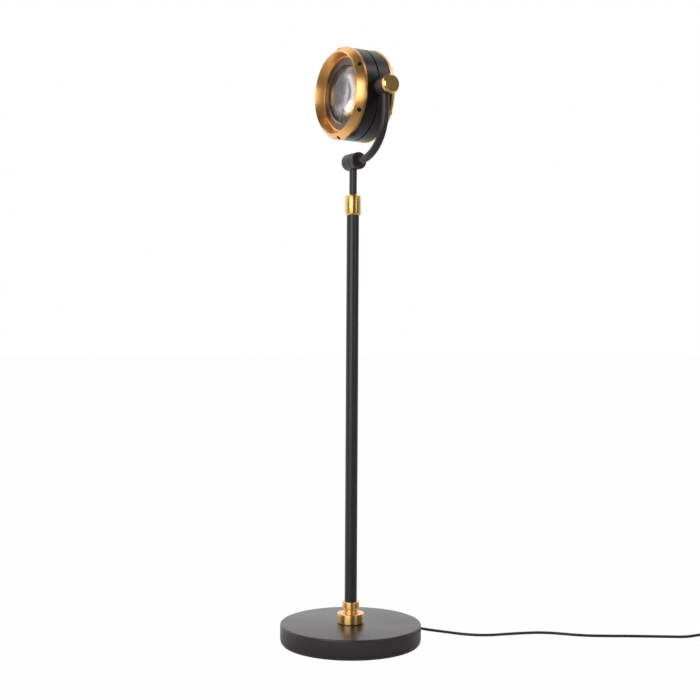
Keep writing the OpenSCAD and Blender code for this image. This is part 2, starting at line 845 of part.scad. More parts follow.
module tilt_knob() {
    color(brass_colour) translate([0, 0, pivot_z]) rotate([0, 90, 0])
        rotate_extrude($fn = 128) polygon([
            [0, knob_x + 4], [shaft_r + fit, knob_x + 4], [shaft_r + fit, knob_neck_x],
            [knob_neck_r, knob_neck_x], [knob_neck_r, knob_x],
            [knob_r - knob_edge, knob_x], [knob_r, knob_x + knob_edge],
            [knob_r, knob_end - knob_bevel], [knob_face_r, knob_end], [0, knob_end]
        ]);
}

// Drum

// Side hole for the pivot spigot, cut through both halves of the drum
module pivot_hole() {
    rotate([0, 90, 0]) cylinder(r = boss_hole_r, h = drum_r + 2 * cut);
}

module drum_front_half() {
    color(black_paint) on_head() difference() {
        rotate_extrude($fn = 180) polygon([
            [drum_in_r, groove_front], [drum_r, groove_front], [drum_r, drum_front],
            [drum_in_r, drum_front]
        ]);
        pivot_hole();
    }
}

module drum_rear_half() {
    spigot_end = groove_front + spigot_l;
    color(black_paint) on_head() difference() {
        rotate_extrude($fn = 180) polygon([
            [spigot_in_r, spigot_end], [spigot_in_r, groove_back - 4],
            [drum_in_r, groove_back - 4 - drum_wall], [drum_in_r, rear_front],
            [drum_r, rear_front], [drum_r, groove_back], [drum_in_r - fit, groove_back],
            [drum_in_r - fit, spigot_end]
        ]);
        pivot_hole();
    }
}

// Front bezel, with the stack that it holds

// Places a child on each screw of the front bevel, z along the screw
module on_bevel() {
    for (i = [0 : screw_count - 1]) rotate([0, 0, screw_turn + 360 * i / screw_count])
        translate([bezel_r, 0, rim_end]) rotate([0, 90 - bevel_turn, 0])
            translate([-screw_from_rim, 0, 0]) children();
}

module front_bezel() {
    relief_in_r = seat_r + bezel_wall;
    relief_out_r = tail_r - bezel_wall;
    relief_top = rim_end - bezel_wall - screw_head_h;
    color(brass_colour) on_head() difference() {
        rotate_extrude($fn = 180) polygon([
            [tail_r, bezel_back], [tail_r, drum_front], [bezel_r, drum_front],
            [bezel_r, rim_end], [lip_r + lip_round, lip_front - lip_round],
            [lip_r - lip_round, lip_front], [lip_r - lip_w, lip_front - lip_round],
            [bore_r, bore_floor + shoulder_t], [bore_r - shoulder_w, bore_floor + shoulder_t],
            [bore_r - shoulder_w, bore_floor], [seat_r, bore_floor], [seat_r, bezel_back],
            [relief_in_r, bezel_back], [relief_in_r, relief_top], [relief_out_r, relief_top],
            [relief_out_r, bezel_back]
        ]);
        on_bevel() {
            translate([0, 0, -screw_shank_l])
                cylinder(r = screw_shank_r + fit, h = screw_shank_l + cut, $fn = 24);
            translate([0, 0, -screw_head_h - screw_sink])
                cylinder(r = screw_head_d / 2 + fit, h = screw_head_h + screw_sink + cut);
        }
    }
}

module front_screws() {
    head_z = -screw_head_h - screw_sink;
    color(iron_colour) on_head() on_bevel() translate([0, 0, head_z])
        button_screw(screw_head_d / 2, screw_head_h, screw_shank_l + head_z - fit);
}

// Low domed screw with a hexagon socket, its head standing on z = 0
module button_screw(r, h, shank) {
    difference() {
        union() {
            rotate_extrude($fn = 32) polygon([
                [0, 0], [r, 0], [r, h * 0.4], [r * 0.85, h * 0.78], [r * 0.6, h], [0, h]
            ]);
            translate([0, 0, -shank]) cylinder(r = screw_shank_r, h = shank + skin, $fn = 24);
        }
        translate([0, 0, h - socket_cut])
            cylinder(r = socket_flats / sqrt(3), h = socket_cut + cut, $fn = 6);
    }
}

module lens_ring() {
    color(bronze_colour) on_head() translate([0, 0, lens_front])
        rotate_extrude($fn = 128) polygon([
            [lens_r, 0], [seat_r - fit, 0], [seat_r - fit, lens_ring_t],
            [lens_r + 2, lens_ring_t], [lens_r, lens_ring_t - 1]
        ]);
}

module lens() {
    color(glass_colour) on_head() union() {
        translate([0, 0, lens_back])
            cylinder(r = lens_rim_r, h = lens_flange_t - fit, $fn = 128);
        intersection() {
            translate([0, 0, lens_front - fit + lens_rise - lens_sphere_r])
                sphere(r = lens_sphere_r, $fn = 180);
            translate([0, 0, lens_back])
                cylinder(r = lens_r - 2 * fit, h = lens_flange_t + lens_rise + cut, $fn = 128);
        }
        intersection() {
            translate([0, 0, lens_back - lens_back_rise + lens_back_sphere_r])
                sphere(r = lens_back_sphere_r, $fn = 180);
            translate([0, 0, lens_back - lens_back_rise - cut])
                cylinder(r = lens_back_r, h = lens_back_rise + 2 * cut, $fn = 128);
        }
    }
}

module lens_gasket() {
    color(rubber_colour) on_head() translate([0, 0, clamp_step])
        tube(lens_rim_r, clamp_in_r, gasket_t);
}

module lens_clamp() {
    color(iron_colour) on_head() rotate_extrude($fn = 128) polygon([
        [clamp_in_r, clamp_back], [seat_r - fit, clamp_back], [seat_r - fit, clamp_front],
        [lens_rim_r + loose, clamp_front], [lens_rim_r + loose, clamp_step],
        [clamp_in_r, clamp_step]
    ]);
}

// Depth of the light cone at a radius: a parabola from its throat to its front
function bowl(r) = cone_back + (cone_front - cone_t - cone_back)
    * (pow(r, 2) - pow(throat_r, 2)) / (pow(cone_r, 2) - pow(throat_r, 2));

module light_cone() {
    steps = 16;
    radii = [for (i = [0 : steps]) throat_r + (cone_r - throat_r) * i / steps];
    color(iron_colour) on_head() rotate_extrude($fn = 128) polygon(concat(
        [for (r = radii) [r, bowl(r) + cone_t]],
        [[lens_rim_r, cone_front], [lens_rim_r, cone_front - cone_t],
         [cone_r + cone_t, cone_front - cone_t]],
        [for (i = [steps : -1 : 0]) [radii[i] + cone_t * i / steps, bowl(radii[i])]]
    ));
}

module led_board() {
    color([0.93, 0.90, 0.78]) on_head() translate([0, 0, board_back]) {
        cylinder(r = board_r - 2, h = board_t);
        cylinder(r = emitter_r, h = board_t + emitter_t);
    }
}

module heat_sink() {
    sink_back = rear_cover_front - rear_cover_step;
    base_front = sink_back + sink_base_t;
    fin_pitch = (sink_d - 2 * fin_margin) / (fin_count - 1);
    color(steel_colour) on_head() union() {
        translate([0, 0, sink_back]) cylinder(r = sink_d / 2, h = sink_base_t);
        translate([0, 0, base_front - skin])
            cylinder(r = pedestal_r, h = sink_front - base_front + skin);
        intersection() {
            for (i = [0 : fin_count - 1])
                translate([fin_pitch * (i - (fin_count - 1) / 2) - fin_t / 2,
                           -sink_d / 2, base_front - skin])
                    cube([fin_t, sink_d, sink_front - base_front - board_t]);
            translate([0, 0, base_front - cut]) cylinder(r = sink_d / 2 - 1, h = sink_d);
        }
    }
}

// Rear bezel and cover

// Places a child on each rear screw, z pointing out of the back
module on_rear() {
    for (i = [0 : screw_count - 1]) rotate([0, 0, screw_turn + 360 * i / screw_count])
        translate([rear_screw_pcr, 0, rear_back]) rotate([180, 0, 0]) children();
}

module rear_bezel() {
    color(brass_colour) on_head() difference() {
        rotate_extrude($fn = 180) polygon([
            [rear_open_r, rear_back], [rear_flat_r, rear_back], [bezel_r, rear_rim_end],
            [bezel_r, rear_front], [drum_in_r - fit, rear_front],
            [drum_in_r - fit, rear_front + rear_lip], [rear_cover_r + fit, rear_front + rear_lip],
            [rear_cover_r + fit, rear_shoulder], [rear_open_r, rear_shoulder]
        ]);
        on_rear() translate([0, 0, -rear_shank_l])
            cylinder(r = screw_shank_r + fit, h = rear_shank_l + cut, $fn = 24);
    }
}

module rear_screws() {
    color(iron_colour) on_head() on_rear() button_screw(
        rear_head_d / 2, rear_head_h, rear_shank_l - fit);
}

module rear_cover() {
    step_r = rear_open_r - rear_step_in;
    color(black_paint) on_head() rotate_extrude($fn = 128) polygon([
        [0, rear_cover_front - rear_cover_step], [0, rear_shoulder - rear_cover_step],
        [step_r, rear_shoulder - rear_cover_step], [step_r + 3, rear_shoulder],
        [rear_cover_r, rear_shoulder], [rear_cover_r, rear_cover_front],
        [step_r + 2, rear_cover_front], [step_r - 1, rear_cover_front - rear_cover_step]
    ]);
}

// Cord fittings in the base

module cord_gland() {
    in_y = gland_wall_y - gland_in;
    end_y = base_r + gland_tail;
    seat_r = cord_r + 2 * fit;
    color(rubber_colour) translate([0, 0, gland_z]) rotate([-90, 0, 0])
        rotate_extrude($fn = 48) polygon([
            [0, in_y + gland_seat], [seat_r, in_y + gland_seat], [seat_r, in_y],
            [gland_r, in_y], [gland_r, gland_wall_y - gland_flange_t],
            [gland_flange_r, gland_wall_y - gland_flange_t], [gland_flange_r, gland_wall_y],
            [gland_r, gland_wall_y], [gland_r, base_r + 2], [gland_r - 1, end_y],
            [seat_r, end_y], [seat_r, end_y - gland_seat], [0, end_y - gland_seat]
        ]);
}

module inner_lead() {
    from_y = gland_wall_y - gland_in + gland_seat;
    rise = lead_z - gland_z;
    way = [[0, 0], [0.2, 0], [0.45, 0.3], [0.7, 0.7], [1, 1]];
    lead_points = concat(
        [for (w = way) [0, from_y - lead_rise_l * w[0], gland_z + rise * w[1]]],
        [[0, block_y + block[1], lead_z]]
    );
    color(rubber_colour) sweep(lead_points, cord_r, side_count);
}

module terminal_block() {
    color(nylon_colour) translate([-block[0] / 2, block_y, foot_top]) difference() {
        cube(block);
        for (x = [block[0] / 4, block[0] * 3 / 4], y = [block[1] / 4, block[1] * 3 / 4])
            translate([x, y, block[2] - 3]) cylinder(r = 2, h = 4, $fn = 24);
    }
}

// Free cord

// Point of a smooth curve through four points, between the second and the third
function curve_point(a, b, c, d, t) = 0.5 * (2 * b + (c - a) * t
    + (2 * a - 5 * b + 4 * c - d) * t * t + (3 * b - a - 3 * c + d) * t * t * t);

// The points with ring_step rings to a span, on a smooth curve through them
function smooth(p) = let (n = len(p)) concat(
    [for (i = [0 : n - 2], k = [0 : ring_step - 1])
        curve_point(p[max(i - 1, 0)], p[i], p[i + 1], p[min(i + 2, n - 1)], k / ring_step)],
    [p[n - 1]]);

function unit(v) = v / norm(v);

// Direction of the path at a point, level at both ends where the path is level there
function path_dir(p, i) = unit(p[min(i + 1, len(p) - 1)] - p[max(i - 1, 0)]);

// Ring of points around the path, with its first side to the side of the path
function path_ring(p, i, r, sides) = let (
    d = path_dir(p, i),
    side = unit(cross(d, [0, 0, 1])),
    up = cross(side, d)
) [for (k = [0 : sides - 1]) let (a = 360 * (k + 0.5) / sides)
    p[i] + r * (side * cos(a) + up * sin(a))];

// Closed tube along the points, of triangles
module sweep(p, r, sides) {
    n = len(p);
    rings = [for (i = [0 : n - 1]) each path_ring(p, i, r, sides)];
    walls = [for (i = [0 : n - 2], k = [0 : sides - 1]) let (
        a = i * sides + k, b = i * sides + (k + 1) % sides, c = a + sides, d = b + sides
    ) each [[a, c, b], [b, c, d]]];
    first = [for (k = [1 : sides - 2]) [0, k, k + 1]];
    last = [for (k = [1 : sides - 2]) let (o = (n - 1) * sides) [o, o + k + 1, o + k]];
    polyhedron(points = rings, faces = concat(walls, first, last), convexity = 10);
}

// Place of a station on the straight
function straight(station, side, z) = [
    straight_from[0] + station * cos(heading) - side * sin(heading),
    straight_from[1] + station * sin(heading) + side * cos(heading), z
];

run_points = concat(cord_points, [for (s = straight_points) straight(s[0], 0, s[1])]);

module cord_run() {
    color(rubber_colour) sweep(smooth(run_points), cord_r, side_count);
}

// Coil: radius and height at a number of turns from its start
coil_outer_r = coil_inner_r + coil_pitch * coil_turns / 2;
function coil_r(t) = coil_inner_r + coil_pitch * abs(t - coil_turns / 2);
function climb(s) = let (c = max(0, min(1, s))) c * c * (3 - 2 * c);
function coil_z(t) = coil_lie + coil_pitch * climb((t - coil_turns / 2) * 2 + 0.5);
coil_centre = straight(coil_at, -coil_outer_r, 0);
function coil_point(t) = let (a = heading + 90 - 360 * t)
    [coil_centre[0] + coil_r(t) * cos(a), coil_centre[1] + coil_r(t) * sin(a), coil_z(t)];

coil_count = round(coil_turns * coil_rings);
coil_turn_points = [for (i = [0 : coil_count]) coil_point(i / coil_rings)];
coil_path = concat(
    [straight(coil_at - cord_d, 0, coil_lie)],
    coil_turn_points,
    [straight(coil_at - cord_d, -2 * coil_outer_r, coil_lie + coil_pitch)]
);
// Least gap of the coil to itself, between points more than half a turn apart
coil_gap = min([for (i = [0 : coil_count], j = [i + coil_rings / 2 : 1 : coil_count])
    norm(coil_turn_points[i] - coil_turn_points[j])]) - cord_d;

module cord_coil() {
    echo(least_gap_of_the_coil = coil_gap);
    color(rubber_colour) sweep(coil_path, cord_r, coil_sides);
}

// How far along the tail, and how much of its way down to the plug is done there
tail_drop = [[0, 0], [10, 0], [20, 0.25], [31, 0.75], [41, 1], [48, 1]];
tail_points = [for (s = tail_drop) straight(coil_at - cord_d - s[0], -2 * coil_outer_r,
    coil_lie + coil_pitch + (plug_z - coil_lie - coil_pitch) * s[1])];

module cord_tail() {
    color(rubber_colour) sweep(tail_points, cord_r, side_count);
}

// Places the plug at the end of the tail, x towards its pins
module on_tail() {
    end = tail_points[len(tail_points) - 1];
    translate([end[0], end[1], 0]) rotate([0, 0, heading + 180]) children();
}

module plug_body() {
    waist = 6;
    shoulder = 14;
    color(rubber_colour) on_tail() difference() {
        union() {
            translate([0, 0, plug_z]) rotate([0, 90, 0])
                cylinder(r1 = plug_neck_r[0], r2 = plug_neck_r[1], h = plug_neck + skin, $fn = 48);
            translate([plug_neck, 0, 0]) linear_extrude(plug_t) polygon([
                [0, -waist], [shoulder, -plug_w / 2 + 1.5], [shoulder + 2, -plug_w / 2],
                [plug_l - 1, -plug_w / 2], [plug_l, -plug_w / 2 + 1], [plug_l, plug_w / 2 - 1],
                [plug_l - 1, plug_w / 2], [shoulder + 2, plug_w / 2],
                [shoulder, plug_w / 2 - 1.5], [0, waist]
            ]);
        }
        pin_places() translate([0, 0, -pin_in]) cylinder(r = pin_d / 2 + fit, h = pin_in + cut);
    }
}

module pin_places() {
    for (y = [-pin_pitch / 2, pin_pitch / 2])
        translate([plug_neck + plug_l, y, plug_z]) rotate([0, 90, 0]) children();
}

module plug_pins() {
    color(brass_colour) on_tail() pin_places() rotate_extrude($fn = 48) polygon([
        [0, -pin_in + fit], [pin_d / 2, -pin_in + fit], [pin_d / 2, pin_l - 1],
        [pin_d / 2 - 1, pin_l], [0, pin_l]
    ]);
}

// Foot switch on the cord

module stadium(l, w, inset) {
    translate([w / 2, 0]) circle(r = w / 2 - inset);
    translate([l - w / 2, 0]) circle(r = w / 2 - inset);
    translate([w / 2, -w / 2 + inset]) square([l - w, w - 2 * inset]);
}

// Way of the cord through the housing
module switch_bore() {
    translate([-cut, 0, switch_split]) rotate([0, 90, 0])
        cylinder(r = cord_r + 2 * fit, h = switch_l + 2 * cut);
}

module switch_base() {
    color(rubber_colour) on_straight(switch_at) difference() {
        linear_extrude(switch_split) stadium(switch_l, switch_w, 0);
        translate([0, 0, switch_wall]) linear_extrude(switch_split)
            stadium(switch_l, switch_w, switch_wall);
        switch_bore();
    }
}

module switch_cover() {
    color(rubber_colour) on_straight(switch_at) difference() {
        union() {
            translate([0, 0, switch_split]) linear_extrude(switch_h - switch_edge - switch_split)
                stadium(switch_l, switch_w, 0);
            translate([0, 0, switch_h - switch_edge - skin]) linear_extrude(switch_edge + skin)
                stadium(switch_l, switch_w, switch_edge);
            for (x = [switch_w / 2, switch_l - switch_w / 2])
                translate([x, 0, switch_h - switch_edge])
                    cylinder(r1 = switch_w / 2, r2 = switch_w / 2 - switch_edge, h = switch_edge);
            translate([switch_w / 2, 0, switch_h - switch_edge]) rotate([90, 0, 90])
                linear_extrude(switch_l - switch_w) polygon([
                    [-switch_w / 2, 0], [switch_w / 2, 0],
                    [switch_w / 2 - switch_edge, switch_edge],
                    [-switch_w / 2 + switch_edge, switch_edge]
                ]);
        }
        translate([0, 0, switch_split - cut])
            linear_extrude(switch_h - switch_split - switch_wall + cut)
                stadium(switch_l, switch_w, switch_wall);
        translate([switch_l / 2, 0, 0])
            cylinder(r = button_d / 2 + face_gap, h = switch_h + cut);
        switch_bore();
    }
}

module foot_button() {
    r = button_d / 2;
    color(iron_colour) on_straight(switch_at) translate([switch_l / 2, 0, button_flange_z])
        rotate_extrude() polygon(concat(
            [[0, -button_flange_t], [r + button_flange, -button_flange_t],
             [r + button_flange, 0], [r, 0]],
            corner(r - button_round, button_top - button_flange_z - button_round,
                   button_round, 0, 90, 5),
            [[0, button_top - button_flange_z - 0.6]]
        ));
}

foot_pad();
foot_plate();
base_weight();
base_cover();
base_washer();
base_nut();
threaded_tube();
base_ring();
pole_socket();
socket_screw();
pole();
pole_plug();
guide_bush();
ferrule();
collet();
twist_collar();
slide_ring();
rod();
rod_foot();
knuckle_body();
knuckle_cap();
knuckle_washer();
knuckle_shaft();
knuckle_nut();
arm_hub();
arm_tube();
arm_eye();
pivot_washer();
pivot_boss();
pivot_nut();
knob_screw();
tilt_knob();
drum_front_half();
drum_rear_half();
front_bezel();
front_screws();
lens_ring();
lens();
lens_gasket();
lens_clamp();
light_cone();
led_board();
heat_sink();
rear_bezel();
rear_screws();
rear_cover();
cord_gland();
inner_lead();
terminal_block();
cord_run();
cord_coil();
cord_tail();
plug_body();
plug_pins();
switch_base();
switch_cover();
foot_button();
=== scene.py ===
"""Floor lamp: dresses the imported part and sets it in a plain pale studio."""

import math

import bmesh
import bpy
from mathutils import Matrix, Quaternion, Vector


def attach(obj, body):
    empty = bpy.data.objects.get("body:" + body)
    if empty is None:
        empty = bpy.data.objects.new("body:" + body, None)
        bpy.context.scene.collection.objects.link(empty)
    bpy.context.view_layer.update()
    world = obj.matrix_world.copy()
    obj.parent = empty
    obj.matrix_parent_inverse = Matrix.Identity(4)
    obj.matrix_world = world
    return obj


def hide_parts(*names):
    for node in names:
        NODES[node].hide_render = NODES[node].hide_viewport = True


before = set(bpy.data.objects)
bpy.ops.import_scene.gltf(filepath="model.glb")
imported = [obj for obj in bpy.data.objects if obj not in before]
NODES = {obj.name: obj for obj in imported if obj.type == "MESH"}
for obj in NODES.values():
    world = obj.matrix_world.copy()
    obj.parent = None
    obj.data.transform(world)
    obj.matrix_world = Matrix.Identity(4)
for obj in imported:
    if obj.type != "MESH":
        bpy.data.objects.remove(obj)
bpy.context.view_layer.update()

# Directions on the floor: from the lamp to the camera, and to the camera's right
TOWARD = Vector((0.84916, -0.52814, 0))
RIGHT = Vector((0.52814, 0.84916, 0))
UP = Vector((0, 0, 1))

# Camera, set so that the frame is the photograph's

FOCAL_MM, SENSOR_MM = 61.507, 36.0
NEAREST, FARTHEST = 0.05, 120.0
CAMERA_AT = (2.1566, -1.3467, 0.65899)
CAMERA_PITCH, CAMERA_ROLL = math.radians(-0.803), math.radians(0.3315)


def add_object(name, data):
    obj = bpy.data.objects.new(name, data)
    bpy.context.scene.collection.objects.link(obj)
    return obj


def make_camera():
    data = bpy.data.cameras.new("camera")
    data.lens = FOCAL_MM
    data.sensor_width = SENSOR_MM
    data.clip_start, data.clip_end = NEAREST, FARTHEST
    look = TOWARD * -math.cos(CAMERA_PITCH) + UP * math.sin(CAMERA_PITCH)
    cam = add_object("camera", data)
    cam.location = CAMERA_AT
    cam.rotation_mode = "QUATERNION"
    cam.rotation_quaternion = look.to_track_quat("-Z", "Y") @ Quaternion((0, 0, 1), CAMERA_ROLL)
    bpy.context.scene.camera = cam


make_camera()

# Cord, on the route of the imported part's own cord

MM_PER_M = 1000
CORD_D = 0.006
PLUG_Z = 0.00685
# Start and direction of the straight stretch, which ends in the coil
STRAIGHT_FROM = Vector((0.275, 0.544, 0))
HEADING = math.radians(56)
ALONG = Vector((math.cos(HEADING), math.sin(HEADING), 0))
ASIDE = Vector((-math.sin(HEADING), math.cos(HEADING), 0))
# Two layers of turns, the centre of the coil being this far along the straight stretch
COIL_AT, COIL_TURNS, COIL_PITCH, COIL_INNER = 0.262, 5.5, 0.0066, 0.026
COIL_MIDDLE_TURN = COIL_TURNS / 2
COIL_OUTER = COIL_INNER + COIL_PITCH * COIL_MIDDLE_TURN
# Points made for each stretch, for each turn of the coil, and round the cord
RUN_STEPS, COIL_STEPS, TAIL_STEPS, CORD_SIDES = 6, 48, 5, 16

# Free stretch from the base, x, y and z in millimetres
CORD_POINTS = [
    (0, 168, 8), (0, 173, 8), (2, 183, 6.8), (6, 192, 4.8), (14, 202, 3.4), (27, 211, 3),
    (43, 221, 3), (60, 231, 3), (78, 243, 3), (94, 258, 3), (107, 275, 3),
    (116, 294, 3), (122, 314, 3), (128, 334, 3), (135, 355, 3), (143, 376, 3),
    (153, 396, 3), (168, 415, 3), (187, 432, 3), (207, 449, 3), (226, 469, 3),
    (243, 493, 3), (259, 518, 3), (275, 544, 3),
]
# Straight stretch through the foot switch, distance along it and z in millimetres
STRAIGHT_POINTS = [
    (30, 3), (60, 3), (90, 3), (112, 3), (130, 4.2), (144, 6.6),
    (156, 8), (189, 8), (222, 8), (233, 6.6), (245, 4.2), (256, 3),
]
# Tail from the coil to the plug, distance in millimetres and share of the way to the plug's height
TAIL = [(0, 0), (10, 0), (20, 0.25), (31, 0.75), (41, 1), (48, 1)]


def straight(station, side, z):
    """A place by its distance along the straight stretch, beside it and above the floor."""
    p = STRAIGHT_FROM + ALONG * station + ASIDE * side
    return Vector((p.x, p.y, z))


def smooth_path(points, steps):
    """A smooth curve that passes through the points, cubic between each two of them."""
    made = []
    for i in range(len(points) - 1):
        a = points[max(i - 1, 0)]
        b, c = points[i], points[i + 1]
        d = points[min(i + 2, len(points) - 1)]
        for k in range(steps):
            t = k / steps
            made.append(
                0.5 * (2 * b + (c - a) * t + (2 * a - 5 * b + 4 * c - d) * t * t
                       + (3 * b - a - 3 * c + d) * t * t * t)
            )
    made.append(points[-1])
    return made


COIL_CENTRE = straight(COIL_AT, -COIL_OUTER, 0)


def coil_point(turn):
    """The coil winds in on the floor, steps up at its inner turn and winds out on top."""
    r = COIL_INNER + COIL_PITCH * abs(turn - COIL_MIDDLE_TURN)
    step = max(0.0, min(1.0, (turn - COIL_MIDDLE_TURN) * 2 + 0.5))
    z = CORD_D / 2 + COIL_PITCH * step * step * (3 - 2 * step)
    a = HEADING + math.pi / 2 - 2 * math.pi * turn
    return COIL_CENTRE + Vector((r * math.cos(a), r * math.sin(a), z))


def cord_path():
    run = [Vector(p) / MM_PER_M for p in CORD_POINTS]
    run += [straight(s / MM_PER_M, 0, z / MM_PER_M) for s, z in STRAIGHT_POINTS]
    coil = [coil_point(i / COIL_STEPS) for i in range(round(COIL_TURNS * COIL_STEPS) + 1)]
    top = CORD_D / 2 + COIL_PITCH
    tail = [
        straight(COIL_AT - CORD_D - d / MM_PER_M, -2 * COIL_OUTER, top + (PLUG_Z - top) * share)
        for d, share in TAIL
    ]
    return smooth_path(run, RUN_STEPS) + coil + smooth_path(tail, TAIL_STEPS)


def tube(name, points, r, sides):
    """Round tube along the points, with its section carried along without twist."""
    bm = bmesh.new()
    rings = []
    across = None
    for i, p in enumerate(points):
        ahead = (points[min(i + 1, len(points) - 1)] - points[max(i - 1, 0)]).normalized()
        if across is None:
            across = ahead.orthogonal().normalized()
        across = (across - ahead * across.dot(ahead)).normalized()
        up = ahead.cross(across)
        rings.append([
            bm.verts.new(p + (across * math.cos(a) + up * math.sin(a)) * r)
            for a in (2 * math.pi * k / sides for k in range(sides))
        ])
    for one, two in zip(rings, rings[1:]):
        for k in range(sides):
            bm.faces.new((one[k], one[(k + 1) % sides], two[(k + 1) % sides], two[k]))
    bm.faces.new(rings[0][::-1])
    bm.faces.new(rings[-1])
    bmesh.ops.recalc_face_normals(bm, faces=bm.faces)
    data = bpy.data.meshes.new(name)
    bm.to_mesh(data)
    bm.free()
    data.shade_smooth()
    return add_object(name, data)


path = cord_path()
cord = tube("mains_cord", path, CORD_D / 2, CORD_SIDES)
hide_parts("cord_run", "cord_coil", "cord_tail")
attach(cord, "stand")

# Materials

# Share of the angle in the texture of a turned piece, so small that its marks run round
TURN_SHARE = 0.0015
# Product of the bevelled and the flat normal where an edge is fully worn, and where it isn't
WORN_EDGE = (0.90, 0.995)


class Nodes:
    """A material's node tree with short ways to add to it. Texture scales are per metre."""

    def __init__(self, name):
        self.mat = bpy.data.materials.new(name)
        self.mat.use_nodes = True
        self.tree = self.mat.node_tree
        self.shader = self.tree.nodes["Principled BSDF"]

    def add(self, kind, **values):
        node = self.tree.nodes.new(kind)
        for k, v in values.items():
            setattr(node, k, v)
        return node

    def link(self, a, b):
        self.tree.links.new(a, b)

    def put(self, socket, value):
        if hasattr(value, "is_output"):
            self.link(value, socket)
        else:
            socket.default_value = value

    def math(self, op, a, b=0.0):
        node = self.add("ShaderNodeMath", operation=op)
        self.put(node.inputs[0], a)
        self.put(node.inputs[1], b)
        return node.outputs[0]

    def place(self):
        return self.add("ShaderNodeTexCoord").outputs["Object"]

    def noise(self, vector, scale, detail=3.0, rough=0.5):
        node = self.add("ShaderNodeTexNoise")
        node.inputs["Scale"].default_value = scale
        node.inputs["Detail"].default_value = detail
        node.inputs["Roughness"].default_value = rough
        self.link(vector, node.inputs["Vector"])
        return node.outputs["Fac"]

    def spread(self, value, low, high, start=0.3, end=0.7):
        """From low to high as the value goes from start to end."""
        node = self.add("ShaderNodeMapRange")
        node.inputs["From Min"].default_value = start
        node.inputs["From Max"].default_value = end
        node.inputs["To Min"].default_value = low
        node.inputs["To Max"].default_value = high
        self.link(value, node.inputs["Value"])
        return node.outputs["Result"]

    def colours(self, value, stops):
        node = self.add("ShaderNodeValToRGB")
        ramp = node.color_ramp
        while len(ramp.elements) < len(stops):
            ramp.elements.new(0.5)
        for e, (at, colour) in zip(ramp.elements, stops):
            e.position = at
            e.color = (*colour, 1)
        self.link(value, node.inputs["Fac"])
        return node.outputs["Color"]

    def patches(self, value, dark, light):
        return self.colours(value, [(0.3, dark), (0.7, light)])

    def mix(self, share, a, b):
        node = self.add("ShaderNodeMix", data_type="RGBA")
        self.put(node.inputs["Factor"], share)
        for s, v in ((node.inputs[6], a), (node.inputs[7], b)):
            self.put(s, (*v, 1) if isinstance(v, tuple) and len(v) == 3 else v)
        return node.outputs[2]

    def bump(self, height, strength, distance):
        node = self.add("ShaderNodeBump")
        node.inputs["Strength"].default_value = strength
        node.inputs["Distance"].default_value = distance
        self.link(height, node.inputs["Height"])
        return node.outputs["Normal"]

    def edges(self, radius):
        """1 on worn outer edges, 0 elsewhere."""
        bevel = self.add("ShaderNodeBevel", samples=4)
        bevel.inputs["Radius"].default_value = radius
        flat = self.add("ShaderNodeNewGeometry").outputs["Normal"]
        dot = self.add("ShaderNodeVectorMath", operation="DOT_PRODUCT")
        self.link(bevel.outputs["Normal"], dot.inputs[0])
        self.link(flat, dot.inputs[1])
        return self.spread(dot.outputs["Value"], 1.0, 0.0, *WORN_EDGE)

    def length(self, a, b):
        """How long a flat vector with the parts a and b is."""
        squares = self.math("ADD", self.math("MULTIPLY", a, a), self.math("MULTIPLY", b, b))
        return self.math("SQRT", squares)

    def turned(self, axis, centre):
        """Radius, length and a slow part of the angle about a lathe axis, as a vector."""
        shift = self.add("ShaderNodeVectorMath", operation="SUBTRACT")
        self.link(self.place(), shift.inputs[0])
        shift.inputs[1].default_value = centre
        split = self.add("ShaderNodeSeparateXYZ")
        self.link(shift.outputs[0], split.inputs[0])
        parts = dict(zip("XYZ", split.outputs))
        along = parts.pop(axis)
        a, b = parts.values()
        angle = self.math("MULTIPLY", self.math("ARCTAN2", a, b), TURN_SHARE)
        join = self.add("ShaderNodeCombineXYZ")
        for s, v in zip(join.inputs, (self.length(a, b), along, angle)):
            self.link(v, s)
        return join.outputs[0]

    def set(self, **values):
        """Sets or links the shader's sockets, named with _ for each space."""
        for k, v in values.items():
            self.put(self.shader.inputs[k.replace("_", " ")], v)


def shade(colour, *factors):
    """The colour times one factor, or one for each channel, up to 1."""
    each = factors if len(factors) == len(colour) else factors * len(colour)
    return tuple(min(1.0, c * f) for c, f in zip(colour, each))


def painted(name, colour, rough, grain, height, specular=0.5):
    """Satin sprayed or powder paint: fine orange peel, faint patches, rubbed edges."""
    wear, edge_width, tint = (0.10, 0.095, 0.10), 0.0006, (1.0, 0.92, 0.95, 1)
    n = Nodes(name)
    at = n.place()
    patch = n.noise(at, scale=9.0, detail=4.0)
    peel = n.noise(at, scale=grain, detail=3.0, rough=0.6)
    dust = n.noise(at, scale=grain * 0.45, detail=2.0)
    rubbing = n.noise(at, scale=60.0, detail=5.0, rough=0.65)
    base = n.patches(patch, shade(colour, 0.86), shade(colour, 1.12))
    base = n.mix(n.spread(dust, 0.0, 0.25, start=0.66, end=0.74), base, wear)
    rubbed = n.math("MULTIPLY", n.edges(edge_width), n.spread(rubbing, 0.0, 0.55))
    n.set(Base_Color=n.mix(rubbed, base, wear))
    n.set(Roughness=n.spread(patch, rough - 0.03, rough + 0.05))
    n.set(Normal=n.bump(peel, strength=0.35, distance=height))
    n.set(Specular_IOR_Level=specular, Specular_Tint=tint)
    return n.mat


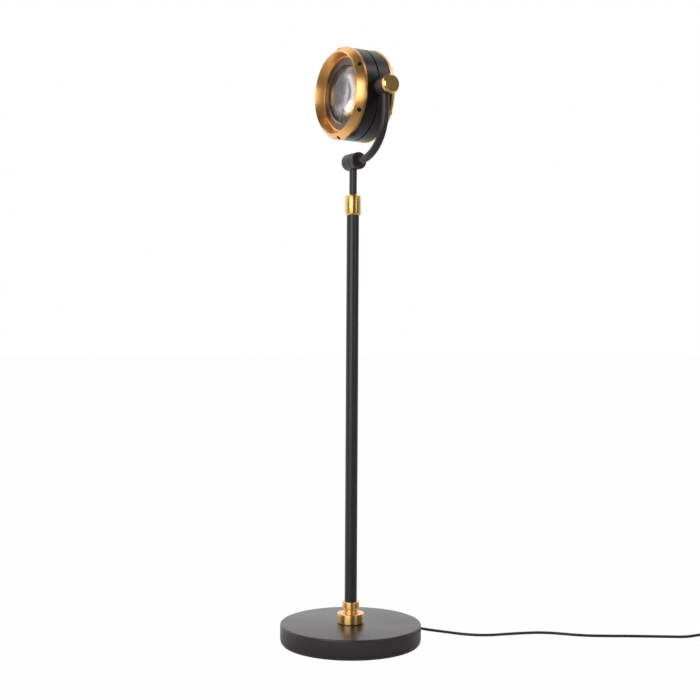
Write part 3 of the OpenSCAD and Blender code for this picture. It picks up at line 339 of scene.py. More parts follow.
def brass(name, axis, centre, colour=(0.97, 0.60, 0.21), rough=0.38, smear=0.8):
    """Lathe-turned, lacquered brass: turning marks smear the light across them."""
    warm, pale = shade(colour, 0.97, 0.93, 0.86), shade(colour, 1.03, 1.05, 1.10)
    across_the_marks = 0.25
    n = Nodes(name)
    at = n.place()
    rings = n.noise(n.turned(axis, centre), scale=1400.0, detail=2.0, rough=0.6)
    tone = n.noise(at, scale=14.0, detail=4.0, rough=0.6)
    tarnish = n.noise(at, scale=300.0, detail=2.0)
    base = n.patches(tone, warm, pale)
    base = n.mix(n.spread(tarnish, 0.0, 0.1, start=0.74, end=0.80), base, shade(colour, 0.6))
    tangent = n.add("ShaderNodeTangent", direction_type="RADIAL", axis=axis)
    n.set(Base_Color=base, Metallic=1.0, Roughness=n.spread(rings, rough - 0.03, rough + 0.03))
    n.set(Anisotropic=smear, Anisotropic_Rotation=across_the_marks, Tangent=tangent.outputs[0])
    n.set(Normal=n.bump(rings, strength=0.05, distance=0.00001))
    n.set(Coat_Weight=0.6, Coat_Roughness=0.08)
    return n.mat


def metal(name, colour, rough, grain, axis=None, centre=(0, 0, 0), height=0.00005, metallic=1.0):
    """Plain metal: turned where it has an axis, otherwise rolled or cast."""
    n = Nodes(name)
    at = n.place()
    tone = n.noise(at, scale=20.0, detail=4.0)
    marks = n.noise(n.turned(axis, centre) if axis else at, scale=grain, detail=3.0, rough=0.6)
    n.set(Base_Color=n.patches(tone, shade(colour, 0.85), shade(colour, 1.1)))
    n.set(Metallic=metallic, Roughness=n.spread(marks, rough - 0.06, rough + 0.08))
    n.set(Normal=n.bump(marks, strength=0.4, distance=height))
    return n.mat


def plastic(name, colour, rough, grain, height, edge=None):
    """Moulded plastic or rubber with its fine grain, and a colour for its rubbed edges."""
    edge_width, rubbed = 0.0005, 0.4
    n = Nodes(name)
    at = n.place()
    tone = n.noise(at, scale=25.0, detail=3.0)
    fine = n.noise(at, scale=grain, detail=2.0, rough=0.55)
    base = n.patches(tone, shade(colour, 0.88), shade(colour, 1.1))
    if edge:
        base = n.mix(n.math("MULTIPLY", n.edges(edge_width), rubbed), base, edge)
    n.set(Base_Color=base, Roughness=n.spread(fine, rough - 0.05, rough + 0.06))
    n.set(Normal=n.bump(fine, strength=0.45, distance=height))
    return n.mat


# Heights of the two tilting axes, and points on the pole's and both of these axes
PIVOT_Z, KNUCKLE_Z = 1.1635, 1.0225
POLE, HEAD, KNUCKLE = (0, 0, 0), (0, 0, PIVOT_Z), (0, 0, KNUCKLE_Z)
LENS_R = 0.061
MOULD_EDGE = (0.05, 0.05, 0.052)

black = painted("satin_black", (0.018, 0.0155, 0.016), rough=0.34, grain=1500, height=0.00005)
base_black = painted("base_black", (0.019, 0.0145, 0.0170), rough=0.27, grain=1100,
                     height=0.00003, specular=0.62)
drum_black = painted("drum_black", (0.008, 0.006, 0.0055), rough=0.26, grain=1800,
                     height=0.00003, specular=0.42)
brass_z = brass("brass_stem", "Z", POLE, rough=0.34, smear=0.85)
# The bezels' brass is the stem's brass painted darker and more orange: painted shade
brass_y_painted_shade = brass("brass_bezel_painted_shade", "Y", HEAD, colour=(0.88, 0.46, 0.14), rough=0.34, smear=0.5)
brass_x = brass("brass_knob", "X", HEAD, rough=0.22, smear=0.0)
pin_brass = brass("brass_pins", "Z", POLE, colour=(0.80, 0.56, 0.24))
steel = metal("zinc_steel", (0.58, 0.59, 0.60), rough=0.32, grain=500)
iron = metal("cast_iron", (0.075, 0.073, 0.072), rough=0.62, grain=260, height=0.0004,
             metallic=0.6)
screw_black = metal("black_oxide", (0.020, 0.014, 0.011), rough=0.38, grain=900, metallic=0.7)
bronze = metal("bronze_anodised", (0.16, 0.115, 0.10), rough=0.30, grain=1300, axis="Y",
               centre=HEAD, metallic=0.9)
dark_alu = metal("black_anodised", (0.035, 0.035, 0.036), rough=0.42, grain=1200, metallic=0.8)
bare_alu = metal("bare_aluminium", (0.60, 0.61, 0.62), rough=0.36, grain=900)
nylon = plastic("nylon", (0.64, 0.60, 0.50), rough=0.45, grain=500, height=0.00006)
pad = plastic("friction_pad", (0.014, 0.014, 0.014), rough=0.72, grain=700, height=0.0001)
rubber = plastic("cord_pvc", (0.010, 0.010, 0.0105), rough=0.44, grain=1600, height=0.00001)
switch_mat = plastic("switch_grain", (0.013, 0.013, 0.014), rough=0.45, grain=1500,
                     height=0.00012, edge=MOULD_EDGE)
plug_mat = plastic("plug_grain", (0.013, 0.013, 0.014), rough=0.48, grain=1300,
                   height=0.00010, edge=MOULD_EDGE)
tie_mat = plastic("tie_nylon", (0.010, 0.010, 0.011), rough=0.75, grain=2600, height=0.0003)


def felt_material():
    n = Nodes("felt")
    fuzz = n.noise(n.place(), scale=900.0, detail=6.0, rough=0.75)
    n.set(Base_Color=n.patches(fuzz, (0.008, 0.008, 0.009), (0.030, 0.030, 0.032)))
    n.set(Roughness=0.95, Sheen_Weight=0.4)
    n.set(Normal=n.bump(fuzz, strength=0.9, distance=0.0006))
    return n.mat


def board_material():
    """White board with a yellow emitter in its middle and a grey dam round it."""
    emitter_r, dam_r, blur = 0.0068, 0.0080, 0.0003
    white, grey = (0.70, 0.70, 0.68), (0.30, 0.30, 0.30)
    n = Nodes("led_board")
    at = n.place()
    split = n.add("ShaderNodeSeparateXYZ")
    n.link(at, split.inputs[0])
    r = n.length(split.outputs["X"], n.math("SUBTRACT", split.outputs["Z"], PIVOT_Z))
    disc = n.spread(r, 1.0, 0.0, emitter_r, emitter_r + blur)
    dam = n.spread(r, 0.5, 0.0, dam_r, dam_r + blur)
    dots = n.noise(at, scale=700.0, detail=1.0)
    yellow = n.colours(dots, [(0.35, (0.75, 0.50, 0.06)), (0.65, (0.86, 0.66, 0.10))])
    n.set(Base_Color=n.mix(disc, n.mix(dam, white, grey), yellow), Roughness=0.4)
    n.set(Normal=n.bump(dots, strength=0.2, distance=0.0001))
    return n.mat


def glass_material():
    """Clear glass, a little soft from wiping, whose cylindrical rim is ground."""
    rim_start, rim_full = LENS_R - 0.0004, LENS_R - 0.0002
    n = Nodes("lens_glass")
    at = n.place()
    radius = n.add("ShaderNodeSeparateXYZ")
    n.link(n.turned("Y", HEAD), radius.inputs[0])

    def face_or_rim(face, rim):
        return n.spread(radius.outputs["X"], face, rim, rim_start, rim_full)

    smears = n.noise(at, scale=45.0, detail=4.0, rough=0.6)
    waves = n.noise(at, scale=18.0, detail=1.0)
    wiped = n.spread(smears, 0.13, 0.17, start=0.4, end=0.8)
    n.set(Base_Color=(0.93, 0.93, 0.97, 1), IOR=1.52, Specular_Tint=(1.0, 0.92, 1.0, 1))
    n.set(Transmission_Weight=face_or_rim(1.0, 0.15))
    n.set(Roughness=n.math("MAXIMUM", wiped, face_or_rim(0.0, 0.6)))
    n.set(Normal=n.bump(waves, strength=0.02, distance=0.0002))
    return n.mat


felt, board, glass = felt_material(), board_material(), glass_material()

FINISH = {
    "foot_pad": felt, "foot_plate": base_black, "base_weight": iron, "base_cover": base_black,
    "base_washer": steel, "base_nut": steel, "threaded_tube": steel, "base_ring": brass_z,
    "pole_socket": brass_z, "socket_screw": screw_black, "pole": black, "pole_plug": steel,
    "guide_bush": nylon, "ferrule": steel, "collet": nylon, "twist_collar": brass_z,
    "slide_ring": nylon, "rod": black, "rod_foot": nylon, "knuckle_body": black,
    "knuckle_cap": black, "knuckle_washer": pad, "knuckle_shaft": steel, "knuckle_nut": steel,
    "arm_hub": black, "arm_tube": black, "arm_eye": black, "pivot_washer": pad,
    "pivot_boss": drum_black, "pivot_nut": steel, "knob_screw": steel, "tilt_knob": brass_x,
    "drum_front_half": drum_black, "drum_rear_half": drum_black, "front_bezel": brass_y_painted_shade,
    "front_screws": screw_black, "lens_ring": bronze, "lens": glass, "lens_gasket": pad,
    "lens_clamp": dark_alu, "light_cone": dark_alu, "led_board": board, "heat_sink": bare_alu,
    "rear_bezel": brass_y_painted_shade, "rear_screws": screw_black, "rear_cover": drum_black,
    "cord_gland": rubber, "inner_lead": rubber, "terminal_block": nylon, "cord_run": rubber,
    "cord_coil": rubber, "cord_tail": rubber, "plug_body": plug_mat, "plug_pins": pin_brass,
    "switch_base": switch_mat, "switch_cover": switch_mat, "foot_button": switch_mat,
}
for name, node in NODES.items():
    node.data.materials.clear()
    node.data.materials.append(FINISH[name])
cord.data.materials.append(rubber)

# Small pieces of the cord

# Edges with a sharper turn than this many degrees stay sharp
SHARP_FROM = 30
LATHE_STEPS = 48


def smooth_shaded(data, sharp_from=SHARP_FROM):
    data.shade_smooth()
    data.set_sharp_from_angle(angle=math.radians(sharp_from))


def mesh_object(name, bm, material, body, sharp_from=SHARP_FROM):
    data = bpy.data.meshes.new(name)
    bmesh.ops.recalc_face_normals(bm, faces=bm.faces)
    bm.to_mesh(data)
    bm.free()
    data.materials.append(material)
    obj = add_object(name, data)
    smooth_shaded(data, sharp_from)
    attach(obj, body)
    return obj


def lathe(name, profile, place, material, body, steps=LATHE_STEPS):
    """A closed profile of (radius, length) turned about the length axis."""
    bm = bmesh.new()
    tips = {k: bm.verts.new(place @ Vector((0, 0, z))) for k, (r, z) in enumerate(profile)
            if r == 0}
    rows = []
    for i in range(steps):
        a = 2 * math.pi * i / steps
        row = []
        for k, (r, z) in enumerate(profile):
            at = place @ Vector((r * math.cos(a), r * math.sin(a), z))
            row.append(tips.get(k) or bm.verts.new(at))
        rows.append(row)
    count = len(profile)
    for one, two in zip(rows, rows[1:] + rows[:1]):
        for k in range(count):
            after = (k + 1) % count
            corners = tuple(dict.fromkeys((one[k], one[after], two[after], two[k])))
            if len(corners) > 2:
                bm.faces.new(corners)
    return mesh_object(name, bm, material, body)


def carve(obj, cutters, sides=LATHE_STEPS):
    """Cuts round holes: each cutter is a place, a radius and its ends along z."""
    bm = bmesh.new()
    for place, r, low, high in cutters:
        made = bmesh.ops.create_cone(bm, cap_ends=True, segments=sides, radius1=r, radius2=r,
                                     depth=high - low)
        bmesh.ops.transform(bm, matrix=place @ Matrix.Translation((0, 0, (low + high) / 2)),
                            verts=made["verts"])
    data = bpy.data.meshes.new("cutter")
    bm.to_mesh(data)
    bm.free()
    cutter = add_object("cutter", data)
    hole = obj.modifiers.new("hole", "BOOLEAN")
    hole.operation, hole.solver, hole.object = "DIFFERENCE", "EXACT", cutter
    made = bpy.data.meshes.new_from_object(
        obj.evaluated_get(bpy.context.evaluated_depsgraph_get()))
    obj.modifiers.clear()
    old, obj.data = obj.data, made
    made.name = old.name + "_cut"
    bpy.data.meshes.remove(old)
    bpy.data.objects.remove(cutter)
    bpy.data.meshes.remove(data)
    smooth_shaded(made)
    return obj


ALONG_Y = Matrix.Rotation(-math.pi / 2, 4, "X")
CORD_EXIT = Matrix.Translation((0, 0, 0.008)) @ ALONG_Y
SLEEVE_R, SLEEVE_BORE_R, SLEEVE_START, SLEEVE_END = 0.0050, 0.0031, 0.1395, 0.1720


def strain_relief():
    """Ribbed, tapered sleeve where the cord leaves the base."""
    shoulder, first_rib, ribs, pitch, taper = 0.1505, 0.1520, 7, 0.0028, 0.0010
    crown, groove = 0.0001, 0.0007
    crown_at, rib_end, groove_start, groove_end = 0.0004, 0.0017, 0.0019, 0.0026
    tip_r, tip_edge, tip_edge_l = SLEEVE_R - taper, 0.0003, 0.0004
    outer = [(SLEEVE_R, SLEEVE_START), (SLEEVE_R, shoulder)]
    for i in range(ribs):
        at = first_rib + pitch * i
        r = SLEEVE_R - taper * i / (ribs - 1)
        outer += [(r, at), (r + crown, at + crown_at), (r, at + rib_end),
                  (r - groove, at + groove_start), (r - groove, at + groove_end)]
    outer += [(tip_r, SLEEVE_END - tip_edge_l), (tip_r - tip_edge, SLEEVE_END)]
    inner = [(SLEEVE_BORE_R, SLEEVE_END), (SLEEVE_BORE_R, SLEEVE_START)]
    return lathe("strain_relief", outer + inner, CORD_EXIT, rubber, "stand")


def hull(points):
    """The convex outline of flat points: its lower half, then its upper half."""
    points = sorted(set(points))

    def half(row):
        made = []
        for p in row:
            while len(made) > 1 and (
                (made[-1][0] - made[-2][0]) * (p[1] - made[-2][1])
                - (made[-1][1] - made[-2][1]) * (p[0] - made[-2][0])
            ) <= 0:
                made.pop()
            made.append(p)
        return made[:-1]

    return half(points) + half(points[::-1])


def turns_outline(turn):
    """Outline of the coil's turns where the tie crosses them, as (radius, height)."""
    around, gap = 40, 0.0001
    off = CORD_D / 2 + gap
    spots = []
    for k in range(math.floor(COIL_TURNS - turn) + 1):
        hit = coil_point(turn + k)
        r = (Vector((hit.x, hit.y, 0)) - COIL_CENTRE).length
        for a in (2 * math.pi * i / around for i in range(around)):
            spots.append((round(r + off * math.cos(a), 6), round(hit.z + off * math.sin(a), 6)))
    return hull(spots)


# Faces of a box whose corners go by z first, then by x, then by y
BOX_FACES = ((0, 1, 3, 2), (4, 6, 7, 5), (0, 4, 5, 1), (2, 3, 7, 6), (0, 2, 6, 4), (1, 5, 7, 3))


def coil_tie(turn):
    """Strap closed round the turns of the coil at one place, with its loose end on top."""
    width, thick, sink = 0.010, 0.0009, 0.00005
    floor_gap, flattened = 0.0002, 0.2
    end_width, end_in, end_out = 0.92, 0.008, 0.0075
    first = coil_point(turn)
    out = (Vector((first.x, first.y, 0)) - COIL_CENTRE).normalized()
    side = UP.cross(out)
    loop = turns_outline(turn)
    middle = Vector((sum(r for r, _ in loop), sum(z for _, z in loop))) / len(loop)
    bm = bmesh.new()

    def vertex(r, edge, z):
        return bm.verts.new(COIL_CENTRE + out * r + side * edge * width + UP * z)

    rows = []
    for grow in (0.0, thick):
        for edge in (-0.5, 0.5):
            row = []
            for r, z in loop:
                away = (Vector((r, z)) - middle).normalized() * grow
                row.append(vertex(r + away.x, edge, max(floor_gap - grow * flattened, z + away.y)))
            rows.append(row)
    for a, b in ((0, 1), (1, 3), (3, 2), (2, 0)):
        for i in range(len(loop)):
            j = (i + 1) % len(loop)
            bm.faces.new((rows[a][i], rows[a][j], rows[b][j], rows[b][i]))
    top = max(z for _, z in loop) + thick - sink
    loose_end = [vertex(r, edge, z) for z in (top, top + thick)
                 for r in (middle.x - end_in, middle.x + end_out)
                 for edge in (-end_width / 2, end_width / 2)]
    for face in BOX_FACES:
        bm.faces.new([loose_end[i] for i in face])
    return mesh_object("coil_tie", bm, tie_mat, "stand", sharp_from=40)


# Turn of the coil, counted from where it starts, at which the tie sits
TIE_TURN = 0.62
relief = strain_relief()
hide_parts("cord_gland")
tie = coil_tie(TIE_TURN)

# Turned pieces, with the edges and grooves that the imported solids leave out

# Gap between two pieces that fit, and the small facet on their edges
FIT, FACET = 0.00005, 0.0003
BRASS_STEPS, LARGE_STEPS, PLAIN_STEPS, SCREW_STEPS = 192, 256, 96, 32

# Turning axes: up the pole, along the tilting axes, and out through the front of the head
UPRIGHT = Matrix.Identity(4)
ACROSS = Matrix.Rotation(math.pi / 2, 4, "Y")
ON_KNUCKLE, ON_PIVOT = Matrix.Translation(KNUCKLE) @ ACROSS, Matrix.Translation(HEAD) @ ACROSS
ON_HEAD = Matrix.Translation(HEAD) @ Matrix.Rotation(math.pi / 2, 4, "X")

# Stand: the cover, the ring and the socket sit on each other round the threaded stem
STEM_R = 0.006
BASE_R, BASE_H, COVER_WALL, COVER_EDGE, COVER_RIM = 0.150, 0.042, 0.002, 0.003, 0.009
RING_R, RING_TOP = 0.0285, 0.0635
SOCKET_R, SOCKET_TOP, SOCKET_FLOOR = 0.0185, 0.088, 0.072
POLE_R, NECK_R, POLE_BORE_R, ROD_R = 0.0131, 0.0127, 0.0112, 0.008
POLE_SHOULDER, POLE_TOP = 0.9088, 0.925

# Head: distances forward of the pivot
DRUM_R, DRUM_WALL, DRUM_FRONT, DRUM_REAR = 0.0962, 0.0025, 0.0264, -0.0334
GROOVE_FRONT, GROOVE_BACK = -0.0022, -0.0052
BEZEL_R, RIM_END = 0.0972, 0.0324
LIP_FRONT, LIP_R, LIP_ROUND = 0.0455, 0.0855, 0.0006
BEVEL_TURN = math.atan2(BEZEL_R - LIP_R - LIP_ROUND, LIP_FRONT - RIM_END - LIP_ROUND)
SCREWS, SCREW_FROM_RIM = 6, 0.0058
SCREW_R, SCREW_H, SCREW_SINK = 0.0048, 0.0022, 0.0006
SHANK_R, SHANK_L, SHANK_GAP = 0.002, 0.009, 0.0001


def corner(x, y, r, start, end, steps):
    """Points of a round corner in a profile, angles in degrees."""
    turns = (math.radians(start + (end - start) * i / steps) for i in range(steps + 1))
    return [(x + r * math.cos(a), y + r * math.sin(a)) for a in turns]


def eased(points, size):
    """The same line with its inner corners cut by a small facet."""
    made = [points[0]]
    for before, at, after in zip(points, points[1:], points[2:]):
        for other in (before, after):
            step = Vector(other) - Vector(at)
            made.append(tuple(Vector(at) + step.normalized() * min(size, step.length * 0.4)))
    return made + [points[-1]]


def cove(start, end, upright_first, steps):
    """A quarter of an ellipse between two points of a profile, without its first point."""
    made = []
    for i in range(1, steps + 1):
        a = math.pi / 2 * i / steps
        one, other = 1 - math.cos(a), math.sin(a)
        x, y = (one, other) if upright_first else (other, one)
        made.append((start[0] + (end[0] - start[0]) * x, start[1] + (end[1] - start[1]) * y))
    return made


def base_cover():
    """Spun cover with its tight top edge, rolled rim and the arch over the strain relief."""
    stem, roll = STEM_R + FIT, 0.001
    edge = (BASE_R - COVER_EDGE, BASE_H - COVER_EDGE)
    arch_start, arch_end = 0.142, 0.152
    profile = [(stem, BASE_H - COVER_WALL), (stem, BASE_H)]
    profile += corner(*edge, COVER_EDGE, 90, 0, 8)
    profile += corner(BASE_R - roll, COVER_RIM + roll, roll, 0, -90, 3)
    profile += [(BASE_R - COVER_WALL, COVER_RIM)]
    profile += corner(*edge, COVER_EDGE - COVER_WALL, 0, 90, 4)
    cover = lathe("cover_shell", profile, UPRIGHT, base_black, "stand",
                  LARGE_STEPS)
    return carve(cover, [(CORD_EXIT, SLEEVE_R + FIT, arch_start, arch_end)])


def base_ring():
    stem, foot, top = STEM_R + FIT, 0.002, 0.001
    profile = [(stem, BASE_H)]
    profile += corner(RING_R - foot, BASE_H + foot, foot, -90, 0, 5)
    profile += corner(RING_R - top, RING_TOP - top, top, 0, 90, 5)
    profile += [(stem, RING_TOP)]
    return lathe("ring_turned", profile, UPRIGHT, brass_z, "stand", BRASS_STEPS)


def pole_socket():
    """Foot flange, waist, flare and band, with the clamping screw's hole at the back."""
    stem, bore, edge = STEM_R + FIT, POLE_R + FIT, 0.0015
    flange_r, flange_edge, waist_r = 0.0165, 0.0005, 0.0150
    flange_top, waist_z, band_z = RING_TOP + 0.0035, RING_TOP + 0.006, RING_TOP + 0.0115
    flange = (flange_r - flange_edge, flange_top)
    waist, band = (waist_r, waist_z), (SOCKET_R, band_z)
    screw_z, screw_r, screw_tip, outside = 0.082, 0.002, 0.0125, 0.020
    profile = [(stem, RING_TOP), (flange_r, RING_TOP), (flange_r, flange_top - flange_edge), flange]
    profile += cove(flange, waist, False, 4) + cove(waist, band, True, 8)
    profile += corner(SOCKET_R - edge, SOCKET_TOP - edge, edge, 0, 90, 5)
    profile += [(bore, SOCKET_TOP), (bore, SOCKET_FLOOR), (stem, SOCKET_FLOOR)]
    socket = lathe("socket_turned", profile, UPRIGHT, brass_z, "stand", BRASS_STEPS)
    screw_axis = Matrix.Translation((0, 0, screw_z)) @ ALONG_Y
    return carve(socket, [(screw_axis, screw_r + FIT, screw_tip, outside)])


def pole():
    """Tube of the pole, turned down a little where the collar runs on it."""
    profile = [(POLE_BORE_R, SOCKET_FLOOR), (POLE_R, SOCKET_FLOOR), (POLE_R, POLE_SHOULDER),
               (NECK_R, POLE_SHOULDER), (NECK_R, POLE_TOP), (POLE_BORE_R, POLE_TOP)]
    return lathe("pole_tube", profile, UPRIGHT, black, "stand", PLAIN_STEPS)


def twist_collar():
    """Chamfered outside, and inside it the thread and the cone that presses the collet."""
    r, low, high, chamfer = 0.0172, 0.909, 0.9525, 0.003
    thread_r, lip, rod = 0.0142, 0.002, ROD_R + 2 * FIT
    cone_r, cone_z, cone_tip_r, cone_tip_z = 0.0121, 0.9313, 0.0101, 0.9453
    outside = eased([(NECK_R + FIT, low), (r - chamfer, low), (r, low + chamfer),
                     (r, high - chamfer), (r - chamfer, high), (rod, high)], FACET)
    inside = [(rod, cone_tip_z), (cone_tip_r, cone_tip_z), (cone_r, cone_z), (thread_r, cone_z),
              (thread_r, low + lip), (NECK_R + FIT, low + lip)]
    return lathe("collar_turned", outside + inside, UPRIGHT, brass_z, "collar",
                 BRASS_STEPS)


def friction_disc(name, place, low, body):
    """Black disc that fills the seam between two turning parts of the arm."""
    shaft_r, outer, thick = 0.005, 0.0177, 0.0012
    inner = shaft_r + FIT
    profile = [(inner, low), (outer, low), (outer, low + thick), (inner, low + thick)]
    return lathe(name, profile, place, pad, body, PLAIN_STEPS)


def drum_shell(name, profile):
    """One half of the drum, with the side hole for the spigot of the pivot boss."""
    hole_r, inside, outside = 0.0081, 0.080, 0.100
    shell = lathe(name, profile, ON_HEAD, drum_black, "head", LARGE_STEPS)
    return carve(shell, [(ON_PIVOT, hole_r, inside, outside)])


def drum_front():
    inner = DRUM_R - DRUM_WALL
    return drum_shell("drum_front_shell", [
        (inner, GROOVE_FRONT), (DRUM_R - FACET, GROOVE_FRONT), (DRUM_R, GROOVE_FRONT + FACET),
        (DRUM_R, DRUM_FRONT), (inner, DRUM_FRONT)])


def drum_rear():
    """Rear half, whose spigot reaches into the front half and forms the groove's floor."""
    inner, spigot_l, root = DRUM_R - DRUM_WALL, 0.008, 0.004
    spigot_r, end = inner - FIT, GROOVE_FRONT + spigot_l
    neck, thick_to = spigot_r - DRUM_WALL, GROOVE_BACK - root
    return drum_shell("drum_rear_shell", [
        (neck, end), (neck, thick_to), (inner, thick_to - DRUM_WALL), (inner, DRUM_REAR),
        (DRUM_R, DRUM_REAR), (DRUM_R, GROOVE_BACK - FACET), (DRUM_R - FACET, GROOVE_BACK),
        (spigot_r, GROOVE_BACK), (spigot_r, end)])


def bevel_places():
    """Where the screws stand on the front bevel, z along the screw, the first at the top."""
    for i in range(SCREWS):
        yield (ON_HEAD @ Matrix.Rotation(math.radians(90 + 360 / SCREWS * i), 4, "Z")
               @ Matrix.Translation((BEZEL_R, 0, RIM_END))
               @ Matrix.Rotation(math.pi / 2 - BEVEL_TURN, 4, "Y")
               @ Matrix.Translation((-SCREW_FROM_RIM, 0, 0)))


def front_bezel():
    """Bevelled ring: its bore narrows to the lens ring, and two skirts reach into the drum."""
    bore, floor, step, shoulder = 0.0775, 0.025, 0.001, 0.0018
    inner_skirt, relief_in, relief_out, outer_skirt = 0.079, 0.082, 0.09065, 0.09365
    skirt_end, relief_top, lip_blunt = 0.012, 0.0272, 0.0001
    above, shank_sides = 0.003, 24
    outside = eased([(outer_skirt, DRUM_FRONT), (BEZEL_R, DRUM_FRONT), (BEZEL_R, RIM_END),
                     (LIP_R + LIP_ROUND, LIP_FRONT - LIP_ROUND)], FACET)
    lip = [(LIP_R, LIP_FRONT - lip_blunt), (LIP_R - LIP_ROUND, LIP_FRONT),
           (LIP_R - 2 * LIP_ROUND, LIP_FRONT - LIP_ROUND)]
    inside = [(bore, floor + step), (bore - shoulder, floor + step), (bore - shoulder, floor),
              (inner_skirt, floor), (inner_skirt, skirt_end)]
    relief = [(relief_in, skirt_end), (relief_in, relief_top), (relief_out, relief_top),
              (relief_out, skirt_end)]
    profile = [(outer_skirt, skirt_end)] + outside + lip + inside + relief
    bezel = lathe("bezel_turned", profile, ON_HEAD, brass_y_painted_shade, "head", LARGE_STEPS)
    places = list(bevel_places())
    carve(bezel, [(p, SCREW_R + FIT, -SCREW_H - SCREW_SINK, above) for p in places])
    return carve(bezel, [(p, SHANK_R + FIT, -SHANK_L, -SCREW_H) for p in places],
                 sides=shank_sides)


def front_screws():
    """Low domed screws with hexagon sockets, joined as one piece."""
    low, tip = -SCREW_H - SCREW_SINK, SHANK_GAP - SHANK_L
    top = low + SCREW_H
    key_r, key_depth, above = 0.0021, 0.0012, 0.001
    dome = [(SCREW_R * r, low + SCREW_H * h)
            for r, h in ((1, 0), (1, 0.45), (0.93, 0.72), (0.75, 0.92), (0.5, 1), (0, 1))]
    profile = [(0, tip), (SHANK_R, tip), (SHANK_R, low)] + dome
    joined = bmesh.new()
    for place in bevel_places():
        one = lathe("screw", profile, place, screw_black, "head", SCREW_STEPS)
        data = one.data
        joined.from_mesh(data)
        bpy.data.objects.remove(one)
        bpy.data.meshes.remove(data)
    screws = mesh_object("bezel_screws", joined, screw_black, "head")
    keys = [(p, key_r, top - key_depth, top + above) for p in bevel_places()]
    return carve(screws, keys, sides=6)


KNUCKLE_SEAM, PIVOT_SEAM = 0.008, 0.1085

for piece, node in (
    (base_cover(), "base_cover"),
    (base_ring(), "base_ring"),
    (pole_socket(), "pole_socket"),
    (pole(), "pole"),
    (twist_collar(), "twist_collar"),
    (friction_disc("knuckle_disc", ON_KNUCKLE, KNUCKLE_SEAM, "rod"), "knuckle_washer"),
    (friction_disc("pivot_disc", ON_PIVOT, PIVOT_SEAM, "arm"), "pivot_washer"),
    (drum_front(), "drum_front_half"),
    (drum_rear(), "drum_rear_half"),
    (front_bezel(), "front_bezel"),
    (front_screws(), "front_screws"),
):
    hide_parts(node)

# Studio

FLOOR_SIDE, FLOOR_WHITE = 60, (0.95, 0.95, 0.95, 1)
# Share of the floor that shows as plain white to the camera, and to metal and glass as white with
# painted shade and a painted shadow. The rest takes the light and the lamp's shadow
FLOOR_GLOW = 0.97
WHITE, WORLD_LIGHT = (1, 1, 1, 1), 0.5
# Middle of the backdrop that metal and glass show, a little left of behind the lamp
BACKDROP = TOWARD * -0.976 + RIGHT * -0.216


class Surroundings(Nodes):
    """White for the camera; for metal and glass, white behind the lamp and dim before it."""

    def __init__(self, tree):
        self.tree = tree
        tree.nodes.clear()
        self.rays = self.add("ShaderNodeLightPath").outputs

    def seen(self):
        """1 for camera, glossy and transmission rays."""
        total = self.rays["Is Camera Ray"]
        for name in ("Is Glossy Ray", "Is Transmission Ray"):
            total = self.math("MAXIMUM", total, self.rays[name])
        return total

    def along(self, vector, direction):
        dot = self.add("ShaderNodeVectorMath", operation="DOT_PRODUCT")
        self.link(vector, dot.inputs[0])
        dot.inputs[1].default_value = direction
        return dot.outputs["Value"]

    def mix_shaders(self, share, one, two, output):
        """Mixes two shaders and sends the result to the output."""
        mix = self.add("ShaderNodeMixShader")
        self.link(share, mix.inputs[0])
        self.link(one.outputs[0], mix.inputs[1])
        self.link(two.outputs[0], mix.inputs[2])
        self.link(mix.outputs[0], self.add(output).inputs["Surface"])


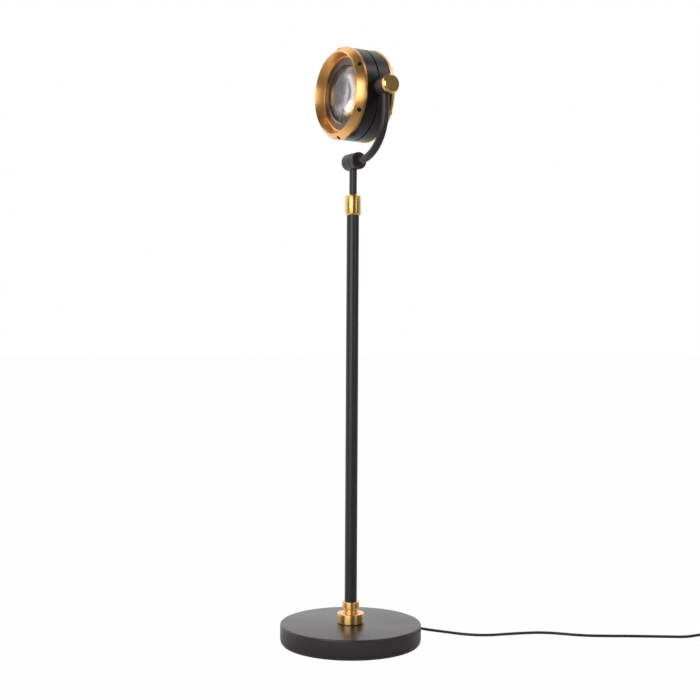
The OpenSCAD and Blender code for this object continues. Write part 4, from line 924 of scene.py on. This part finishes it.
def floor_material():
    mat = bpy.data.materials.new("studio_floor")
    mat.use_nodes = True
    n = Surroundings(mat.node_tree)
    diffuse = n.add("ShaderNodeBsdfDiffuse")
    diffuse.inputs["Color"].default_value = FLOOR_WHITE
    place = n.add("ShaderNodeNewGeometry").outputs["Position"]
    forward, aside = n.along(place, TOWARD), n.along(place, RIGHT)
    away = n.add("ShaderNodeVectorMath", operation="LENGTH")
    n.link(place, away.inputs[0])
    # What metal and glass see of the floor is painted darker: painted shade before the lamp and to
    # its right, and a painted shadow of the lamp close under it
    white = n.math("MULTIPLY", n.spread(forward, 1.0, 0.45, start=-0.3, end=0.3),
                   n.spread(forward, 1.0, 0.35, start=0.5, end=1.5))
    white = n.math("MULTIPLY", white, n.spread(aside, 1.0, 0.5, start=0.0, end=0.5))
    white = n.math("MULTIPLY", white,
                   n.spread(away.outputs["Value"], 0.5, 1.0, start=0.15, end=0.35))
    glow = n.add("ShaderNodeEmission")
    n.link(n.math("MAXIMUM", n.rays["Is Camera Ray"], white), glow.inputs["Strength"])
    share = n.math("MULTIPLY", n.seen(), FLOOR_GLOW)
    n.mix_shaders(share, diffuse, glow, "ShaderNodeOutputMaterial")
    return mat


def studio_floor():
    bm = bmesh.new()
    bmesh.ops.create_grid(bm, x_segments=1, y_segments=1, size=FLOOR_SIDE / 2)
    data = bpy.data.meshes.new("studio_floor")
    bm.to_mesh(data)
    bm.free()
    data.materials.append(floor_material())
    add_object("studio_floor", data)


def studio_world():
    world = bpy.data.worlds.new("studio")
    world.use_nodes = True
    n = Surroundings(world.node_tree)
    light = n.add("ShaderNodeBackground")
    light.inputs["Color"].default_value = WHITE
    light.inputs["Strength"].default_value = WORLD_LIGHT
    white = n.add("ShaderNodeBackground")
    white.inputs["Color"].default_value = WHITE
    direction = n.add("ShaderNodeTexCoord").outputs["Generated"]
    backdrop = n.spread(n.along(direction, BACKDROP), 0.10, 1.0, start=0.1, end=0.35)
    n.link(n.math("MAXIMUM", n.rays["Is Camera Ray"], backdrop), white.inputs["Strength"])
    n.mix_shaders(n.seen(), light, white, "ShaderNodeOutputWorld")
    bpy.context.scene.world = world


def area_light(name, turn, distance, height, aim, size, power):
    """Faces a height on the lamp from a turn in degrees to the right of the camera."""
    a = math.radians(turn)
    place = (TOWARD * math.cos(a) + RIGHT * math.sin(a)) * distance + UP * height
    data = bpy.data.lights.new(name, "AREA")
    data.shape = "RECTANGLE"
    data.size, data.size_y = size
    data.energy = power
    obj = add_object(name, data)
    obj.location = place
    obj.rotation_mode = "QUATERNION"
    obj.rotation_quaternion = (UP * aim - place).to_track_quat("-Z", "Y")


studio_floor()
studio_world()
area_light("front", turn=-27, distance=3.2, height=1.3, aim=0.7, size=(2.9, 2.2), power=54.0)
area_light("fill", turn=46, distance=2.4, height=1.1, aim=0.6, size=(0.5, 1.4), power=5.0)
area_light("high_right", turn=100, distance=1.6, height=2.5, aim=0.6, size=(1.4, 1.0), power=10.0)
area_light("high_left", turn=-95, distance=1.6, height=2.5, aim=0.6, size=(1.4, 1.0), power=12.0)

bpy.context.scene.view_settings.view_transform = "Standard"
